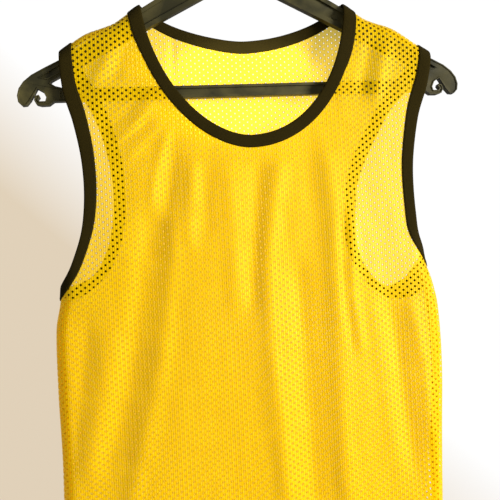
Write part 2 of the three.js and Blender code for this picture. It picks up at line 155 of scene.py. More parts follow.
# Side seam's lean to the back for each millimetre inward, and its waves: height, and length over 2 pi
SIDE_SEAM_LEAN = 0.16
SIDE_SEAM_WAVES = ((0.1, 23), (0.05, 7.3))

# Half section of a folded tape, 12 mm wide and 2 mm thick: distance in from the free edge, half thickness
TAPE_SECTION = np.array([
    (0.0, 0.10), (0.25, 0.55), (0.9, 0.85), (2.2, 0.98), (5.0, 1.0),
    (8.0, 0.95), (10.4, 0.86), (11.6, 0.74), (12.0, 0.40),
])
TAPE_RIB = 0.9
# Tapes: stations along half of each opening, and the section's point in the middle of the width
TAPE_STEPS = {"neck": 150, "left": 170, "right": 170}
TAPE_MIDDLE = 4
EDGE_EASE = 0.85
SEAM_EASE = 0.05

# Stitches: stations along half an opening, their row's distance from the tape's free edge and the hem's top
STITCH_STEPS = 240
STITCH_INSET = 10.2
HEM_STITCH_INSET = 2.0
HEM_STITCH_REACH = 0.995
HEM_STITCH_STEPS = 500
# A bead of thread: where it starts and how long it is, in stitch lengths, the part of a half wave, its heights
BEAD_START = 0.16
BEAD_LENGTH = 0.68
BEAD_TIP = 0.08
BEAD_SPAN = 0.84
BEAD_REST = 0.02
BEAD_RISE = 0.12
THREAD_RADIUS = 0.2
THREAD_OVER_CLOTH = 0.1
BEAD_POINTS = 5
BEAD_SIDES = 6

# Ends of the hanger, beyond the cloth: where they start, their flat faces' distance from the middle, rims
END_START_X = 165.0
END_FACE_Y = 4.0
END_RIM = 1.1
END_SLOPE = 0.5
END_RECESS = 0.9
# Hanger: rounding of its edges, angles in degrees from which an edge is rounded or shaded sharp, and the angle
# and distance up to which faces and corners count as one
EDGE_ROUNDING = 0.7
ROUNDED_ANGLE = 38
SHARP_ANGLE = 35
FLAT_ANGLE = 1.5
MERGE_DISTANCE = 0.02
# Ejector pin's mark: place across and up, radius, the web's face, the tube's radius, points round both ways
EJECTOR_PLACE = (91.0, -125.5)
EJECTOR_RADIUS = 2.8
EJECTOR_FACE_Y = -1.5
EJECTOR_TUBE = 0.4
EJECTOR_STEPS = (48, 10)

# x from the middle, height of the cloth above the hanger's arm
SHOULDER_LIFT = np.array([
    (0, 4.2), (98, 4.2), (110, 3.1), (119, 2.5), (128, 4.2), (148, 9), (176, 7), (210, 7),
], float)

# z, half width on the left, half width on the right
SIDE_LINES = np.array([
    (-690, 191, 169), (-600, 190, 172), (-530, 188.5, 175.5), (-465, 189, 179),
    (-410, 187.5, 178), (-385, 182.5, 173.5), (-362, 180, 166.5), (-335, 179, 166),
    (-290, 181, 177), (-230, 184, 190), (-150, 187, 200), (-90, 188, 201),
], float)

# z, distance of the front and of the back from the hanger's middle plane
LAYER_DEPTH = np.array([
    (-690, 22, 23), (-500, 19, 20), (-360, 16.5, 18), (-240, 13.5, 14.5), (-170, 12, 12.5), (-90, 11, 11),
], float)

# Free edge of each armhole, x and z from the shoulder down to the side seam
ARMHOLES = {
    "left": {
        "tip": 171.0,
        "seam_z": -371.0,
        "front": [
            (169, -190), (161, -222), (155.5, -255), (154.5, -288), (158, -318), (166, -343), (174, -360),
        ],
        "back": [(162, -180), (146, -208), (135, -242), (130, -280), (132, -312), (140, -342), (155, -364)],
    },
    "right": {
        "tip": 183.0,
        "seam_z": -359.0,
        "front": [(177, -192), (165, -226), (158, -260), (155.5, -290), (156, -318), (159, -342)],
        "back": [
            (173, -186), (146, -216), (123, -255), (109, -290),
            (106, -325), (112, -365), (133, -389), (152, -384),
        ],
    },
}

# Broad folds of each layer: half width, height (below zero for a trough), x and z of both ends
BROAD_FOLDS = {
    "front": [
        (24, 6, (-42, -262), (-58, -400)),
        (30, 8, (-60, -400), (-122, -640)),
        (18, -6, (-78, -250), (-92, -430)),
        (26, -8, (-100, -430), (-168, -660)),
        (20, 7, (6, -360), (16, -688)),
        (17, -7, (57, -250), (50, -688)),
        (20, 7, (88, -245), (80, -688)),
        (20, -5, (128, -400), (122, -688)),
        (14, 4, (152, -390), (150, -520)),
        (9, 4, (-84, -198), (-122, -252)),
        (10, -3.5, (-92, -178), (-140, -232)),
        (10, 3.5, (-76, -226), (-112, -310)),
        (11, 4, (-124, -150), (-140, -215)),
        (12, 4, (122, -165), (134, -250)),
    ],
    "back": [
        (18, 5, (-74, -160), (-82, -420)),
        (22, -6, (-30, -200), (-24, -640)),
        (24, 6, (26, -190), (34, -640)),
        (20, -6, (80, -240), (92, -660)),
        (24, 6, (-110, -400), (-132, -660)),
        (20, 6, (132, -430), (128, -660)),
    ],
}
# Share of the broad folds' height that is left beside the finer creases
BROAD_SHARE = {"front": 0.25, "back": 0.5}

# Finer creases of the soft cloth, in the same columns, with as many points as each needs. In front, two broad
# swells come first, then the folds below the neck, the drag lines at the left strap, and those at the right
CREASES = {
    "front": [
        (150, 8, (30, -250), (30, -780)),
        (75, -9, (-222, -380), (-222, -780)),
        (10, 3.2, (-71, -310), (-78, -353), (-88, -415), (-102, -478), (-119, -541), (-128, -572)),
        (11, -2.9, (-94, -309), (-102, -352), (-113, -414), (-127, -476), (-149, -543)),
        (12, 2.6, (-136, -412), (-147, -475), (-165, -546)),
        (8, -1.6, (-157, -401), (-168, -473), (-181, -554)),
        (9, 2.9, (26, -264), (19, -301), (8, -358), (9, -431), (13, -516), (16, -586)),
        (8, -2.4, (6, -265), (0, -333), (-7, -402)),
        (11, -3.5, (37, -360), (39, -433), (40, -518), (41, -589)),
        (10, 2.9, (71, -256), (74, -317), (73, -362), (72, -445), (71, -521), (72, -592)),
        (9, 2.1, (-21, -262), (-22, -331), (-22, -401)),
        (8, -1.9, (-43, -266), (-46, -335)),
        (7, 1.9, (-54, -261), (-61, -311), (-61, -343)),
        (6, -1.9, (-70, -251), (-82, -310)),
        (4, 1.6, (-91, -210), (-117, -236)),
        (4, -1.3, (-98, -200), (-126, -226)),
        (4.5, 1.6, (-82, -226), (-114, -256)),
        (3.5, -1.3, (-89, -219), (-120, -245)),
        (5, 1.8, (-75, -230), (-88, -268), (-95, -300)),
        (9, -2.4, (124, -401), (132, -468), (140, -565)),
        (7, 1.9, (146, -402), (155, -470), (160, -547)),
        (10, 1.6, (108, -400), (116, -477), (123, -563)),
        (6, 1.9, (91, -318), (89, -389), (94, -447)),
        (5, -1.3, (82, -318), (81, -389), (86, -446)),
        (7, 2.6, (137, -159), (123, -206)),
        (6, -1.9, (122, -153), (109, -205)),
        (6, 2.2, (-124, -160), (-142, -188)),
        (6, -1.6, (-109, -149), (-123, -185)),
    ],
    "back": [
        (3.5, 1.6, (-66, -140), (-68, -184)),
        (8, -1.3, (-49, -150), (-51, -218)),
        (9, 1.3, (-16, -156), (-21, -229)),
        (8, -1.3, (21, -157), (18, -230)),
        (8, 1.6, (54, -152), (55, -221)),
        (3, 1.0, (141, -212), (153, -255)),
        (3, -1.2, (127, -236), (149, -294)),
        (3, 1.0, (120, -263), (145, -309)),
        (6, 1.6, (113, -303), (123, -385)),
        (8, -1.6, (136, -319), (140, -384)),
        (4, 1.0, (-148, -215), (-138, -282)),
    ],
}
# A fold is down to half its height at this share of its half length, and fades with this power
FADE_SHARE = 0.95
FADE_POWER = 6

# Small uneven ripples: waves across and down a metre of cloth, turn, height in millimetres
RIPPLES = np.array([
    (34, 4, 0.3, 0.07), (52, -6, 1.7, 0.05), (71, 9, 4.1, 0.03),
    (23, 7, 2.6, 0.12), (88, -12, 5.2, 0.02), (61, 16, 0.9, 0.02),
])


# Surfaces of the hung cloth
def smooth_column(rows, column):
    """Hermite curve through a table's rows: first column in, the given column out, flat beyond both ends."""
    rows = rows[np.argsort(rows[:, 0])]
    keys, values = rows[:, 0], rows[:, column]
    after = np.minimum(np.arange(len(keys)) + 1, len(keys) - 1)
    before = np.maximum(np.arange(len(keys)) - 1, 0)
    slopes = (values[after] - values[before]) / (keys[after] - keys[before])

    def value(at):
        at = np.clip(at, keys[0], keys[-1])
        i = np.clip(np.searchsorted(keys, at, side="right") - 1, 0, len(keys) - 2)
        span = keys[i + 1] - keys[i]
        t = (at - keys[i]) / span
        start = (2 * t**3 - 3 * t**2 + 1) * values[i] + (t**3 - 2 * t**2 + t) * span * slopes[i]
        return start + (3 * t**2 - 2 * t**3) * values[i + 1] + (t**3 - t**2) * span * slopes[i + 1]

    return value


shoulder_lift = smooth_column(SHOULDER_LIFT, 1)
side_half_width = {"left": smooth_column(SIDE_LINES, 1), "right": smooth_column(SIDE_LINES, 2)}
layer_depth = {"front": smooth_column(LAYER_DEPTH, 1), "back": smooth_column(LAYER_DEPTH, 2)}


def half_width(x, z):
    """Half width of the shirt at height z on the side that x lies on."""
    return np.where(x < 0, side_half_width["left"](z), side_half_width["right"](z))


def shoulder_z(x):
    """Height of the shoulder line over x, level across the neck opening."""
    across = np.maximum(np.abs(x), NECK_POINT_X)
    return ARM_TOP_Z - ARM_TOP_SLOPE * across + shoulder_lift(across)


def add_fold(total, x, z, start, end, width, height):
    """Adds a bell exp(-(across / width)^2) along the line from start to end, which fades towards both ends."""
    dx, dz = end[0] - start[0], end[1] - start[1]
    length = math.hypot(dx, dz)
    along = ((x - start[0]) * dx + (z - start[1]) * dz) / length
    across = ((x - start[0]) * dz - (z - start[1]) * dx) / length
    middle = (along - length / 2) / (length / 2)
    fade = 1 + np.abs(middle / FADE_SHARE) ** FADE_POWER
    total += height / fade * np.exp(-((across / width) ** 2))


def fold_heights(layer, x, z):
    """Sum of a layer's broad folds, its finer creases stretch by stretch, and sine ripples."""
    total = np.zeros_like(x)
    for width, height, start, end in BROAD_FOLDS[layer]:
        add_fold(total, x, z, start, end, width, height * BROAD_SHARE[layer])
    for width, height, *points in CREASES[layer]:
        for start, end in zip(points, points[1:]):
            add_fold(total, x, z, start, end, width, height)
    for waves_across, waves_down, turn, height in RIPPLES:
        total += height * np.sin(2 * math.pi * (x * waves_across + z * waves_down) * MM + turn)
    return total


def roll_squared(distance, roll):
    """Square of a quarter ellipse's height at a distance in from its edge, negative outside it."""
    return np.where(distance < roll, 1 - (1 - distance / roll) ** 2, 1.0)


def depth_squared(layer, x, z):
    """Square of a layer's distance from the middle plane: side roll * shoulder roll * depth squared."""
    across = roll_squared(half_width(x, z) - np.abs(x), SIDE_ROLL)
    down = roll_squared(shoulder_z(x) - z, SHOULDER_ROLL)
    depth = layer_depth[layer](z) + fold_heights(layer, x, z)
    both = np.where((across < 0) & (down < 0), -1.0, 1.0)
    return both * across * down * depth**2


def cloth_points(layer, x, z):
    """Points of a layer over x and z, and unit normals out of the hollow: the gradient of y^2 - depth^2."""
    y = LAYER_SIGN[layer] * np.sqrt(np.maximum(depth_squared(layer, x, z), 0))
    change_x = depth_squared(layer, x + SLOPE_STEP, z) - depth_squared(layer, x - SLOPE_STEP, z)
    change_z = depth_squared(layer, x, z + SLOPE_STEP) - depth_squared(layer, x, z - SLOPE_STEP)
    normals = np.stack([-change_x / (2 * SLOPE_STEP), 2 * y, -change_z / (2 * SLOPE_STEP)], -1)
    length = np.linalg.norm(normals, axis=-1, keepdims=True)
    normals = np.where(length > 1e-6, normals / np.maximum(length, 1e-9), (0.0, 0.0, 1.0))
    return np.stack([x, y, z], -1), normals


def drop_of(distance, roll):
    """Depth below a rolled edge, a distance along the cloth from it: quarter circle, then straight."""
    quarter = math.pi / 2 * roll
    curved = roll * (1 - np.cos(np.minimum(distance, quarter) / roll))
    return np.where(distance < quarter, curved, roll + distance - quarter)


def distance_of(drop, roll):
    """Distance along the cloth from a rolled edge of a point that lies a drop below it."""
    curved = roll * np.arccos(np.clip(1 - drop / roll, -1, 1))
    return np.where(drop < roll, curved, math.pi / 2 * roll + drop - roll)


def hang(across, down):
    """From flat cloth, across from the centre line and down from the shoulder height, to x and z as hung.

    Both seams roll over: x = side line - drop(distance to it), z = shoulder line - drop(distance to it).
    """
    x, z = across.copy(), -down
    sign = np.where(across < 0, -1.0, 1.0)
    for _ in range(HANG_ROUNDS):
        width = half_width(sign, z)
        from_side = np.maximum(width + QUARTER_LEAD * SIDE_ROLL - np.abs(across), 0)
        x = sign * (width - drop_of(from_side, SIDE_ROLL))
        line = shoulder_z(x)
        from_shoulder = np.maximum(down + line + QUARTER_LEAD * SHOULDER_ROLL, 0)
        z = line - drop_of(from_shoulder, SHOULDER_ROLL)
    return x, z


def lay_flat(x, z):
    """The reverse of hang: across and down on the flat cloth of a point at x and z."""
    width = half_width(x, z)
    line = shoulder_z(x)
    from_side = distance_of(width - np.abs(x), SIDE_ROLL)
    across = np.sign(x) * (width + QUARTER_LEAD * SIDE_ROLL - from_side)
    down = distance_of(line - z, SHOULDER_ROLL) - line - QUARTER_LEAD * SHOULDER_ROLL
    return across, down


def seam_point(side, from_side, from_shoulder):
    """x and z of points given by their distances along the cloth from the side line and the shoulder line."""
    sign = SIDE_SIGN[side]
    inward = drop_of(from_side, SIDE_ROLL)
    fall = drop_of(from_shoulder, SHOULDER_ROLL)
    x = np.full_like(from_side, sign * SEARCH_START_X)
    z = shoulder_z(x) - fall
    for _ in range(HANG_ROUNDS):
        x = sign * (half_width(x, z) - inward)
        z = shoulder_z(x) - fall
    return x, z


# Runs round the openings
def eased(count):
    """Shares t - ease * sin(2 pi t) / (2 pi) from 0 to 1: closer at both ends, where the cloth rolls over."""
    t = np.linspace(0, 1, count + 1)
    return t - EDGE_EASE * np.sin(2 * math.pi * t) / (2 * math.pi)


def neck_edge(layer, t, inward):
    """Superellipse x = w cos^(2/n), down = d sin^(2/n), grown by inward, measured from the shoulder line."""
    drop, left, right = NECK_SHAPE[layer]
    angle = math.pi * ((1 - t) if layer == "front" else t)
    cosine = np.cos(angle)
    power = np.where(cosine < 0, left, right)
    x = NECK_CENTRE_X + (NECK_HALF_WIDTH + inward) * np.sign(cosine) * np.abs(cosine) ** (2 / power)
    fall = (drop + inward) * np.maximum(np.sin(angle), 0) ** (2 / power)
    return x, shoulder_z(x) - drop_of(fall, SHOULDER_ROLL)


def unit(rows):
    """Rows of a table of vectors, each at length 1."""
    return rows / np.linalg.norm(rows, axis=1, keepdims=True)


def armhole_edge(side, layer, t, inward):
    """Catmull-Rom curve in distances from side and shoulder lines, moved inward along its normal."""
    hole = ARMHOLES[side]
    sign = SIDE_SIGN[side]
    rows = np.array(hole[layer], float)
    x, z = sign * rows[:, 0], rows[:, 1]
    inner = np.stack([
        distance_of(half_width(x, z) - rows[:, 0], SIDE_ROLL),
        distance_of(shoulder_z(x) - z, SHOULDER_ROLL),
    ], -1)
    tip_x = np.array([sign * hole["tip"]])
    tip = np.array([distance_of(half_width(tip_x, shoulder_z(tip_x)) - hole["tip"], SIDE_ROLL)[0], 0.0])
    seam_x = sign * half_width(tip_x, np.array([hole["seam_z"]]))
    seam = np.array([0.0, distance_of(shoulder_z(seam_x) - hole["seam_z"], SHOULDER_ROLL)[0]])
    points = np.vstack([(tip[0], -inner[0, 1]), tip, inner, seam, (-inner[-1, 0], seam[1])])
    place = t * (len(points) - 3)
    i = np.clip(place.astype(int), 0, len(points) - 4)
    u = (place - i)[:, None]
    p0, p1, p2, p3 = points[i], points[i + 1], points[i + 2], points[i + 3]
    a, b = (p2 - p0) / 2, (p3 - p1) / 2
    spot = (2 * u**3 - 3 * u**2 + 1) * p1 + (u**3 - 2 * u**2 + u) * a
    spot = spot + (3 * u**2 - 2 * u**3) * p2 + (u**3 - u**2) * b
    ahead = (6 * u**2 - 6 * u) * p1 + (3 * u**2 - 4 * u + 1) * a
    ahead = ahead + (6 * u - 6 * u**2) * p2 + (3 * u**2 - 2 * u) * b
    normal = unit(np.stack([ahead[:, 1], -ahead[:, 0]], -1))
    near_tip = np.clip(1 - t / SEAM_EASE, 0, 1)[:, None] ** 2
    near_seam = np.clip(1 - (1 - t) / SEAM_EASE, 0, 1)[:, None] ** 2
    normal = normal * (1 - near_tip - near_seam) + near_tip * (1.0, 0.0) + near_seam * (0.0, 1.0)
    moved = np.maximum(spot + unit(normal) * np.reshape(inward, (-1, 1)), 0)
    moved[:, 0] = np.where(t > 1 - 1e-9, 0, moved[:, 0])
    moved[:, 1] = np.where(t < 1e-9, 0, moved[:, 1])
    return seam_point(side, moved[:, 0], moved[:, 1])


def edge_of(opening, layer, t, inward):
    """x and z along an opening's edge on one layer, moved inward over the cloth by a distance."""
    t = np.asarray(t, float)
    inward = np.broadcast_to(np.asarray(inward, float), t.shape)
    if opening == "neck":
        return neck_edge(layer, t, inward)
    return armhole_edge(opening, layer, t, inward)


def loop_points(opening, steps, inward, lift):
    """Points and normals round an opening, front then back, for rows of inward and lift: (station, row, 3)."""
    points, normals = [], []
    for layer in ("front", "back"):
        t = eased(steps)
        reverse = layer == "back" and opening != "neck"
        t = (t[::-1] if reverse else t)[:-1]
        edges = [cloth_points(layer, *edge_of(opening, layer, t, distance)) for distance in inward]
        points.append(np.stack([spots for spots, _ in edges], 1))
        normals.append(np.stack([out for _, out in edges], 1))
    points, normals = np.concatenate(points), np.concatenate(normals)
    return points + normals * np.reshape(lift, (1, -1, 1)), normals


# Meshes
def add_object(name, mesh, material):
    """A smooth object of one material in the scene."""
    mesh.polygons.foreach_set("use_smooth", np.full(len(mesh.polygons), True))
    mesh.materials.append(material)
    thing = bpy.data.objects.new(name, mesh)
    bpy.context.scene.collection.objects.link(thing)
    return thing


def add_piece(name, vertices, faces, material, uv=None):
    """A mesh object from millimetre points and index rows, riding on the part."""
    mesh = bpy.data.meshes.new(name)
    vertices = np.asarray(vertices, float).reshape(-1, 3) * MM
    mesh.from_pydata(vertices.tolist(), [], np.asarray(faces).tolist())
    if uv is not None:
        layer = mesh.uv_layers.new(name="cloth")
        index = np.empty(len(mesh.loops), np.int32)
        mesh.loops.foreach_get("vertex_index", index)
        layer.data.foreach_set("uv", (np.asarray(uv, float)[index] * MM).ravel())
    piece = add_object(name, mesh, material)
    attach(piece, "root")
    return piece


def grid_faces(rows, columns, wrap_rows=False, wrap_columns=False):
    """Quads of a grid of points, with either direction closed on itself."""
    j = np.arange(rows if wrap_rows else rows - 1)
    i = np.arange(columns if wrap_columns else columns - 1)
    j, i = np.meshgrid(j, i, indexing="ij")
    nj, ni = (j + 1) % rows, (i + 1) % columns
    quads = np.stack([j * columns + i, nj * columns + i, nj * columns + ni, j * columns + ni], -1)
    return quads.reshape(-1, 4)


def add_modifier(piece, kind, **settings):
    """A modifier of a kind with its settings."""
    modifier = piece.modifiers.new(kind.title(), kind)
    for key, value in settings.items():
        setattr(modifier, key, value)
    return modifier


def outward(piece):
    """Turns a closed piece's faces to point out."""
    work = bmesh.new()
    work.from_mesh(piece.data)
    bmesh.ops.recalc_face_normals(work, faces=work.faces)
    work.to_mesh(piece.data)
    work.free()


# Materials
def linear(code):
    """A linear colour from an sRGB hex code."""
    shares = [int(code[i : i + 2], 16) / 255 for i in (0, 2, 4)]
    return tuple(c / 12.92 if c <= 0.04045 else ((c + 0.055) / 1.055) ** 2.4 for c in shares)


def add_node(tree, kind, settings=None, inputs=None, links=None):
    """A node of a kind with its settings, its fixed inputs and its linked inputs (input: (node, output))."""
    node = tree.nodes.new(kind)
    for key, value in (settings or {}).items():
        setattr(node, key, value)
    for key, value in (inputs or {}).items():
        node.inputs[key].default_value = value
    for key, (source, output) in (links or {}).items():
        tree.links.new(source.outputs[output], node.inputs[key])
    return node


def new_material(name):
    """A material of that name with an empty node tree."""
    material = bpy.data.materials.new(name)
    material.use_nodes = True
    material.node_tree.nodes.clear()
    return material, material.node_tree


def ribs(tree, uv, spacing_mm, direction):
    """A band texture across one direction of the cloth, whose scale is 2 pi / spacing / 20."""
    return add_node(
        tree, "ShaderNodeTexWave",
        {"wave_type": "BANDS", "bands_direction": direction, "wave_profile": "SIN"},
        {"Scale": 2 * math.pi / (spacing_mm * MM) / 20, "Distortion": 0.0},
        {"Vector": (uv, "UV")},
    )


def noise(tree, place, scale, detail, distortion=0.0):
    """A noise texture over a place, given as node and output."""
    inputs = {"Scale": scale, "Detail": detail, "Distortion": distortion}
    return add_node(tree, "ShaderNodeTexNoise", {}, inputs, {"Vector": place})


def blend(tree, share, first, second):
    """Two values blended, with the second one's share."""
    links = {"A": first, "B": second}
    return add_node(tree, "ShaderNodeMix", {"data_type": "FLOAT"}, {"Factor": share}, links)


def product(tree, first, second):
    """The product of two values."""
    return add_node(tree, "ShaderNodeMath", {"operation": "MULTIPLY"}, {}, {0: first, 1: second})


def relief_of(tree, height, strength, distance):
    """Fine relief of a surface from a height, as deep as the distance in metres."""
    depth = {"Strength": strength, "Distance": distance}
    return add_node(tree, "ShaderNodeBump", {}, depth, {"Height": height})


def two_tones(tree, value, low, dark, high, light):
    """A colour ramp over a value: dark up to low, light from high on."""
    node = add_node(tree, "ShaderNodeValToRGB", {}, {}, {"Fac": value})
    for element, position, colour in zip(node.color_ramp.elements, (low, high), (dark, light)):
        element.position, element.color = position, (*colour, 1)
    return node


def set_surface(tree, shader, output="BSDF"):
    """Ends a material's tree with its shader."""
    add_node(tree, "ShaderNodeOutputMaterial", {}, {}, {"Surface": (shader, output)})


def mesh_cloth(look):
    """Polyester tricot mesh of filament yarn: a satin face with fine upright wales, which passes light."""
    material, tree = new_material("Polyester tricot mesh")
    uv = add_node(tree, "ShaderNodeUVMap", {"uv_map": "cloth"})
    wales = ribs(tree, uv, look.wale_mm, "X")
    courses = ribs(tree, uv, look.course_mm, "Y")
    knit = blend(tree, 0.3, (wales, "Fac"), (courses, "Fac"))
    turned = [
        add_node(tree, "ShaderNodeMapRange", {}, {"To Min": 1.0, "To Max": -1.0}, {"Value": (bands, "Fac")})
        for bands in (ribs(tree, uv, 2 * look.hole_across_mm, "X"), ribs(tree, uv, look.hole_down_mm, "Y"))
    ]
    near_hole = product(tree, (turned[0], "Result"), (turned[1], "Result"))
    # Mask that is nought round each hole: it flattens the knit's relief there and places the painted shade
    # round the holes
    rim = add_node(
        tree, "ShaderNodeMapRange", {"interpolation_type": "SMOOTHSTEP"},
        {"From Min": 0.15, "From Max": 0.75, "To Min": 1.0, "To Max": 0.0}, {"Value": (near_hole, "Value")},
    )
    height = product(tree, (knit, "Result"), (rim, "Result"))
    bump = relief_of(tree, (height, "Value"), strength=0.47, distance=0.0004)
    blotch = noise(tree, (uv, "UV"), scale=90.0, detail=3.0)
    # Painted shade in the knit's grooves: the dark colour goes where the ribs are low, mixed with random tone
    # from the noise
    shade = blend(tree, 0.35, (knit, "Result"), (blotch, "Fac"))
    colour = two_tones(tree, (shade, "Result"), 0.2, look.cloth_shade, 0.75, look.cloth_colour)
    # Painted shade round each hole: the yarn there is mixed towards the dark rim colour
    shaded = add_node(
        tree, "ShaderNodeMix", {"data_type": "RGBA"}, {"A": (*look.cloth_rim_shade, 1)},
        {"Factor": (rim, "Result"), "B": (colour, "Color")},
    )
    face = add_node(
        tree, "ShaderNodeBsdfPrincipled", {},
        {
            "Roughness": 0.4, "IOR": 1.5,
            "Sheen Weight": 0.04, "Sheen Roughness": 0.35, "Sheen Tint": (*look.cloth_satin, 1),
            "Specular IOR Level": 0.36, "Specular Tint": (*look.cloth_satin, 1),
        },
        {"Base Color": (shaded, "Result"), "Normal": (bump, "Normal")},
    )
    glow = {"Color": (*look.cloth_glow, 1)}
    through = add_node(tree, "ShaderNodeBsdfTranslucent", {}, glow, {"Normal": (bump, "Normal")})
    lit = add_node(tree, "ShaderNodeMixShader", {}, {0: 0.3}, {1: (face, "BSDF"), 2: (through, "BSDF")})
    clear = add_node(tree, "ShaderNodeBsdfTransparent", {}, {"Color": (*look.cloth_between, 1)})
    shaders = {1: (lit, "Shader"), 2: (clear, "BSDF")}
    set_surface(tree, add_node(tree, "ShaderNodeMixShader", {}, {0: look.cloth_clear}, shaders), "Shader")
    return material


def knit_tape(look):
    """Polyester rib tape, folded over the edge: matt near-black with fine ribs across its width."""
    material, tree = new_material("Polyester knit tape")
    uv = add_node(tree, "ShaderNodeUVMap", {"uv_map": "cloth"})
    lint = noise(tree, (uv, "UV"), scale=700.0, detail=4.0)
    knit = blend(tree, 0.4, (ribs(tree, uv, TAPE_RIB, "X"), "Fac"), (lint, "Fac"))
    bump = relief_of(tree, (knit, "Result"), strength=0.6, distance=0.0003)
    # Painted shade in the grooves between the ribs, mixed with random tone from the lint noise
    colour = two_tones(tree, (knit, "Result"), 0.25, look.tape_shade, 0.8, look.tape_colour)
    cloth = add_node(
        tree, "ShaderNodeBsdfPrincipled", {},
        {"Roughness": 0.9, "IOR": 1.45, "Sheen Weight": 0.0, "Specular IOR Level": 0.06},
        {"Base Color": (colour, "Color"), "Normal": (bump, "Normal")},
    )
    set_surface(tree, cloth)
    return material


def sewing_thread(name, colour):
    """Spun polyester thread: a soft twisted strand with a faint shine."""
    material, tree = new_material(name)
    place = add_node(tree, "ShaderNodeTexCoord")
    twist = noise(tree, (place, "Object"), scale=2500.0, detail=2.0)
    bump = relief_of(tree, (twist, "Fac"), strength=0.4, distance=0.0001)
    thread = add_node(
        tree, "ShaderNodeBsdfPrincipled", {},
        {"Base Color": (*colour, 1), "Roughness": 0.8, "IOR": 1.5, "Specular IOR Level": 0.1},
        {"Normal": (bump, "Normal")},
    )
    set_surface(tree, thread)
    return material


def moulded_plastic(look):
    """Injection-moulded recycled polypropylene: dark, half matt, with flow marks and a faint grain."""
    material, tree = new_material("Moulded polypropylene")
    place = add_node(tree, "ShaderNodeTexCoord")
    flow = noise(tree, (place, "Object"), scale=38.0, detail=4.0, distortion=0.6)
    grain = noise(tree, (place, "Object"), scale=1600.0, detail=2.0)
    # Both flow mark colours carry a yellow tint of painted light from the cloth
    colour = two_tones(tree, (flow, "Fac"), 0.35, look.plastic_shade, 0.7, look.plastic_colour)
    span = {"To Min": 0.42, "To Max": 0.58}
    rough = add_node(tree, "ShaderNodeMapRange", {}, span, {"Value": (flow, "Fac")})
    bump = relief_of(tree, (grain, "Fac"), strength=0.25, distance=0.0002)
    shell = add_node(
        tree, "ShaderNodeBsdfPrincipled", {}, {"IOR": 1.49, "Specular IOR Level": 0.2},
        {"Base Color": (colour, "Color"), "Roughness": (rough, "Result"), "Normal": (bump, "Normal")},
    )
    set_surface(tree, shell)
    return material


def studio_white(look):
    """Painted studio cove: matt and pale, evenly lit by its own glow and a little dimmer at the lower left."""
    material, tree = new_material("Painted studio cove")
    place = add_node(tree, "ShaderNodeTexCoord")
    slanted = {"operation": "DOT_PRODUCT"}
    slant = add_node(tree, "ShaderNodeVectorMath", slanted, {1: (1.0, 0.0, 1.0)}, {0: (place, "Object")})
    span = {"From Min": -0.95, "From Max": 0.0}
    share = add_node(tree, "ShaderNodeMapRange", {}, span, {"Value": (slant, "Value")})
    tone = two_tones(tree, (share, "Result"), 0.0, look.cove_shade, 1.0, look.cove_colour)
    paint = add_node(
        tree, "ShaderNodeBsdfPrincipled", {},
        {
            "Base Color": (0.02, 0.02, 0.02, 1), "Roughness": 1.0, "Specular IOR Level": 0.0,
            "Emission Strength": 1.0,
        },
        {"Emission Color": (tone, "Color")},
    )
    set_surface(tree, paint)
    return material


def material_of(name, maker, *values):
    """The material of that name, made on first use."""
    return bpy.data.materials.get(name) or maker(*values)


# Properties
def size_property(name, usual, words, least):
    """A size in millimetres that a user would change."""
    words = words + ", in millimetres"
    return bpy.props.FloatProperty(name=name, description=words, default=usual, min=least)


def colour_property(name, code, words):
    """A colour that a user would change, from an sRGB hex code."""
    return bpy.props.FloatVectorProperty(
        name=name, description=words, subtype="COLOR", size=3, min=0, max=1, default=linear(code)
    )


class ShirtLook(bpy.types.PropertyGroup):
    """Sizes and colours that a user would change."""

    hole_across_mm: size_property("Hole spacing across", 3.85, "Between columns of holes", 1)
    hole_down_mm: size_property("Hole spacing down", 5.6, "Between holes of one column", 1)
    hole_width_mm: size_property("Hole width", 2.1, "Across one hole", 0.2)
    hole_height_mm: size_property("Hole height", 2.3, "Down one hole", 0.2)
    wale_mm: size_property("Wale spacing", 2.0, "Between upright ribs of the knit", 0.2)
    course_mm: size_property("Course spacing", 1.45, "Between rows of the knit", 0.2)
    tape_width_mm: size_property("Tape width", 12.0, "Of the folded edging tape", 2)
    tape_thickness_mm: size_property("Tape thickness", 2.4, "Of the folded tape over the cloth", 0.5)
    hem_mm: size_property("Hem height", 20.0, "Of the turned hem", 4)
    stitch_mm: size_property("Stitch length", 3.0, "From one stitch to the next", 1)
    cloth_clear: bpy.props.FloatProperty(
        name="Openness", description="Share of light that passes straight between the yarns",
        default=0.13, min=0, max=1,
    )
    cloth_colour: colour_property("Cloth", "FCD400", "Lit yarn of the mesh")
    # Dark end of the cloth's ramp: painted shade in the grooves between wales and courses, and the dark side
    # of its random tone
    cloth_shade: colour_property("Cloth, between wales", "E0AE00", "Yarn lying deeper in the knit")
    cloth_glow: colour_property("Cloth, lit from behind", "FFE028", "Light that comes through the yarn")
    # Colour of the painted shade round each hole
    cloth_rim_shade: colour_property("Cloth, round the holes", "B08600", "Yarn that dips at the rim of a hole")
    cloth_satin: colour_property("Cloth, shine", "FFE060", "Satin shine of the filament yarn")
    cloth_between: colour_property("Cloth, straight through", "FFF8B8", "Light that slips between the yarns")
    tape_colour: colour_property("Tape", "302708", "Ribs of the edging tape")
    # Colour of the painted shade in the tape's grooves between its ribs
    tape_shade: colour_property("Tape, between ribs", "171303", "Grooves of the edging tape")
    # The plastic's yellow tint is partly painted light, standing in for light that comes through the yellow
    # cloth; the flow marks are the plastic's own tone
    plastic_colour: colour_property("Plastic", "4C4626", "Light flow marks of the hanger")
    plastic_shade: colour_property("Plastic, dark", "2A2815", "Dark flow marks of the hanger")
    cove_colour: colour_property("Cove", "FFFFFF", "Lit side of the studio cove")
    cove_shade: colour_property("Cove, dim side", "DFCFB7", "Shaded side of the studio cove")


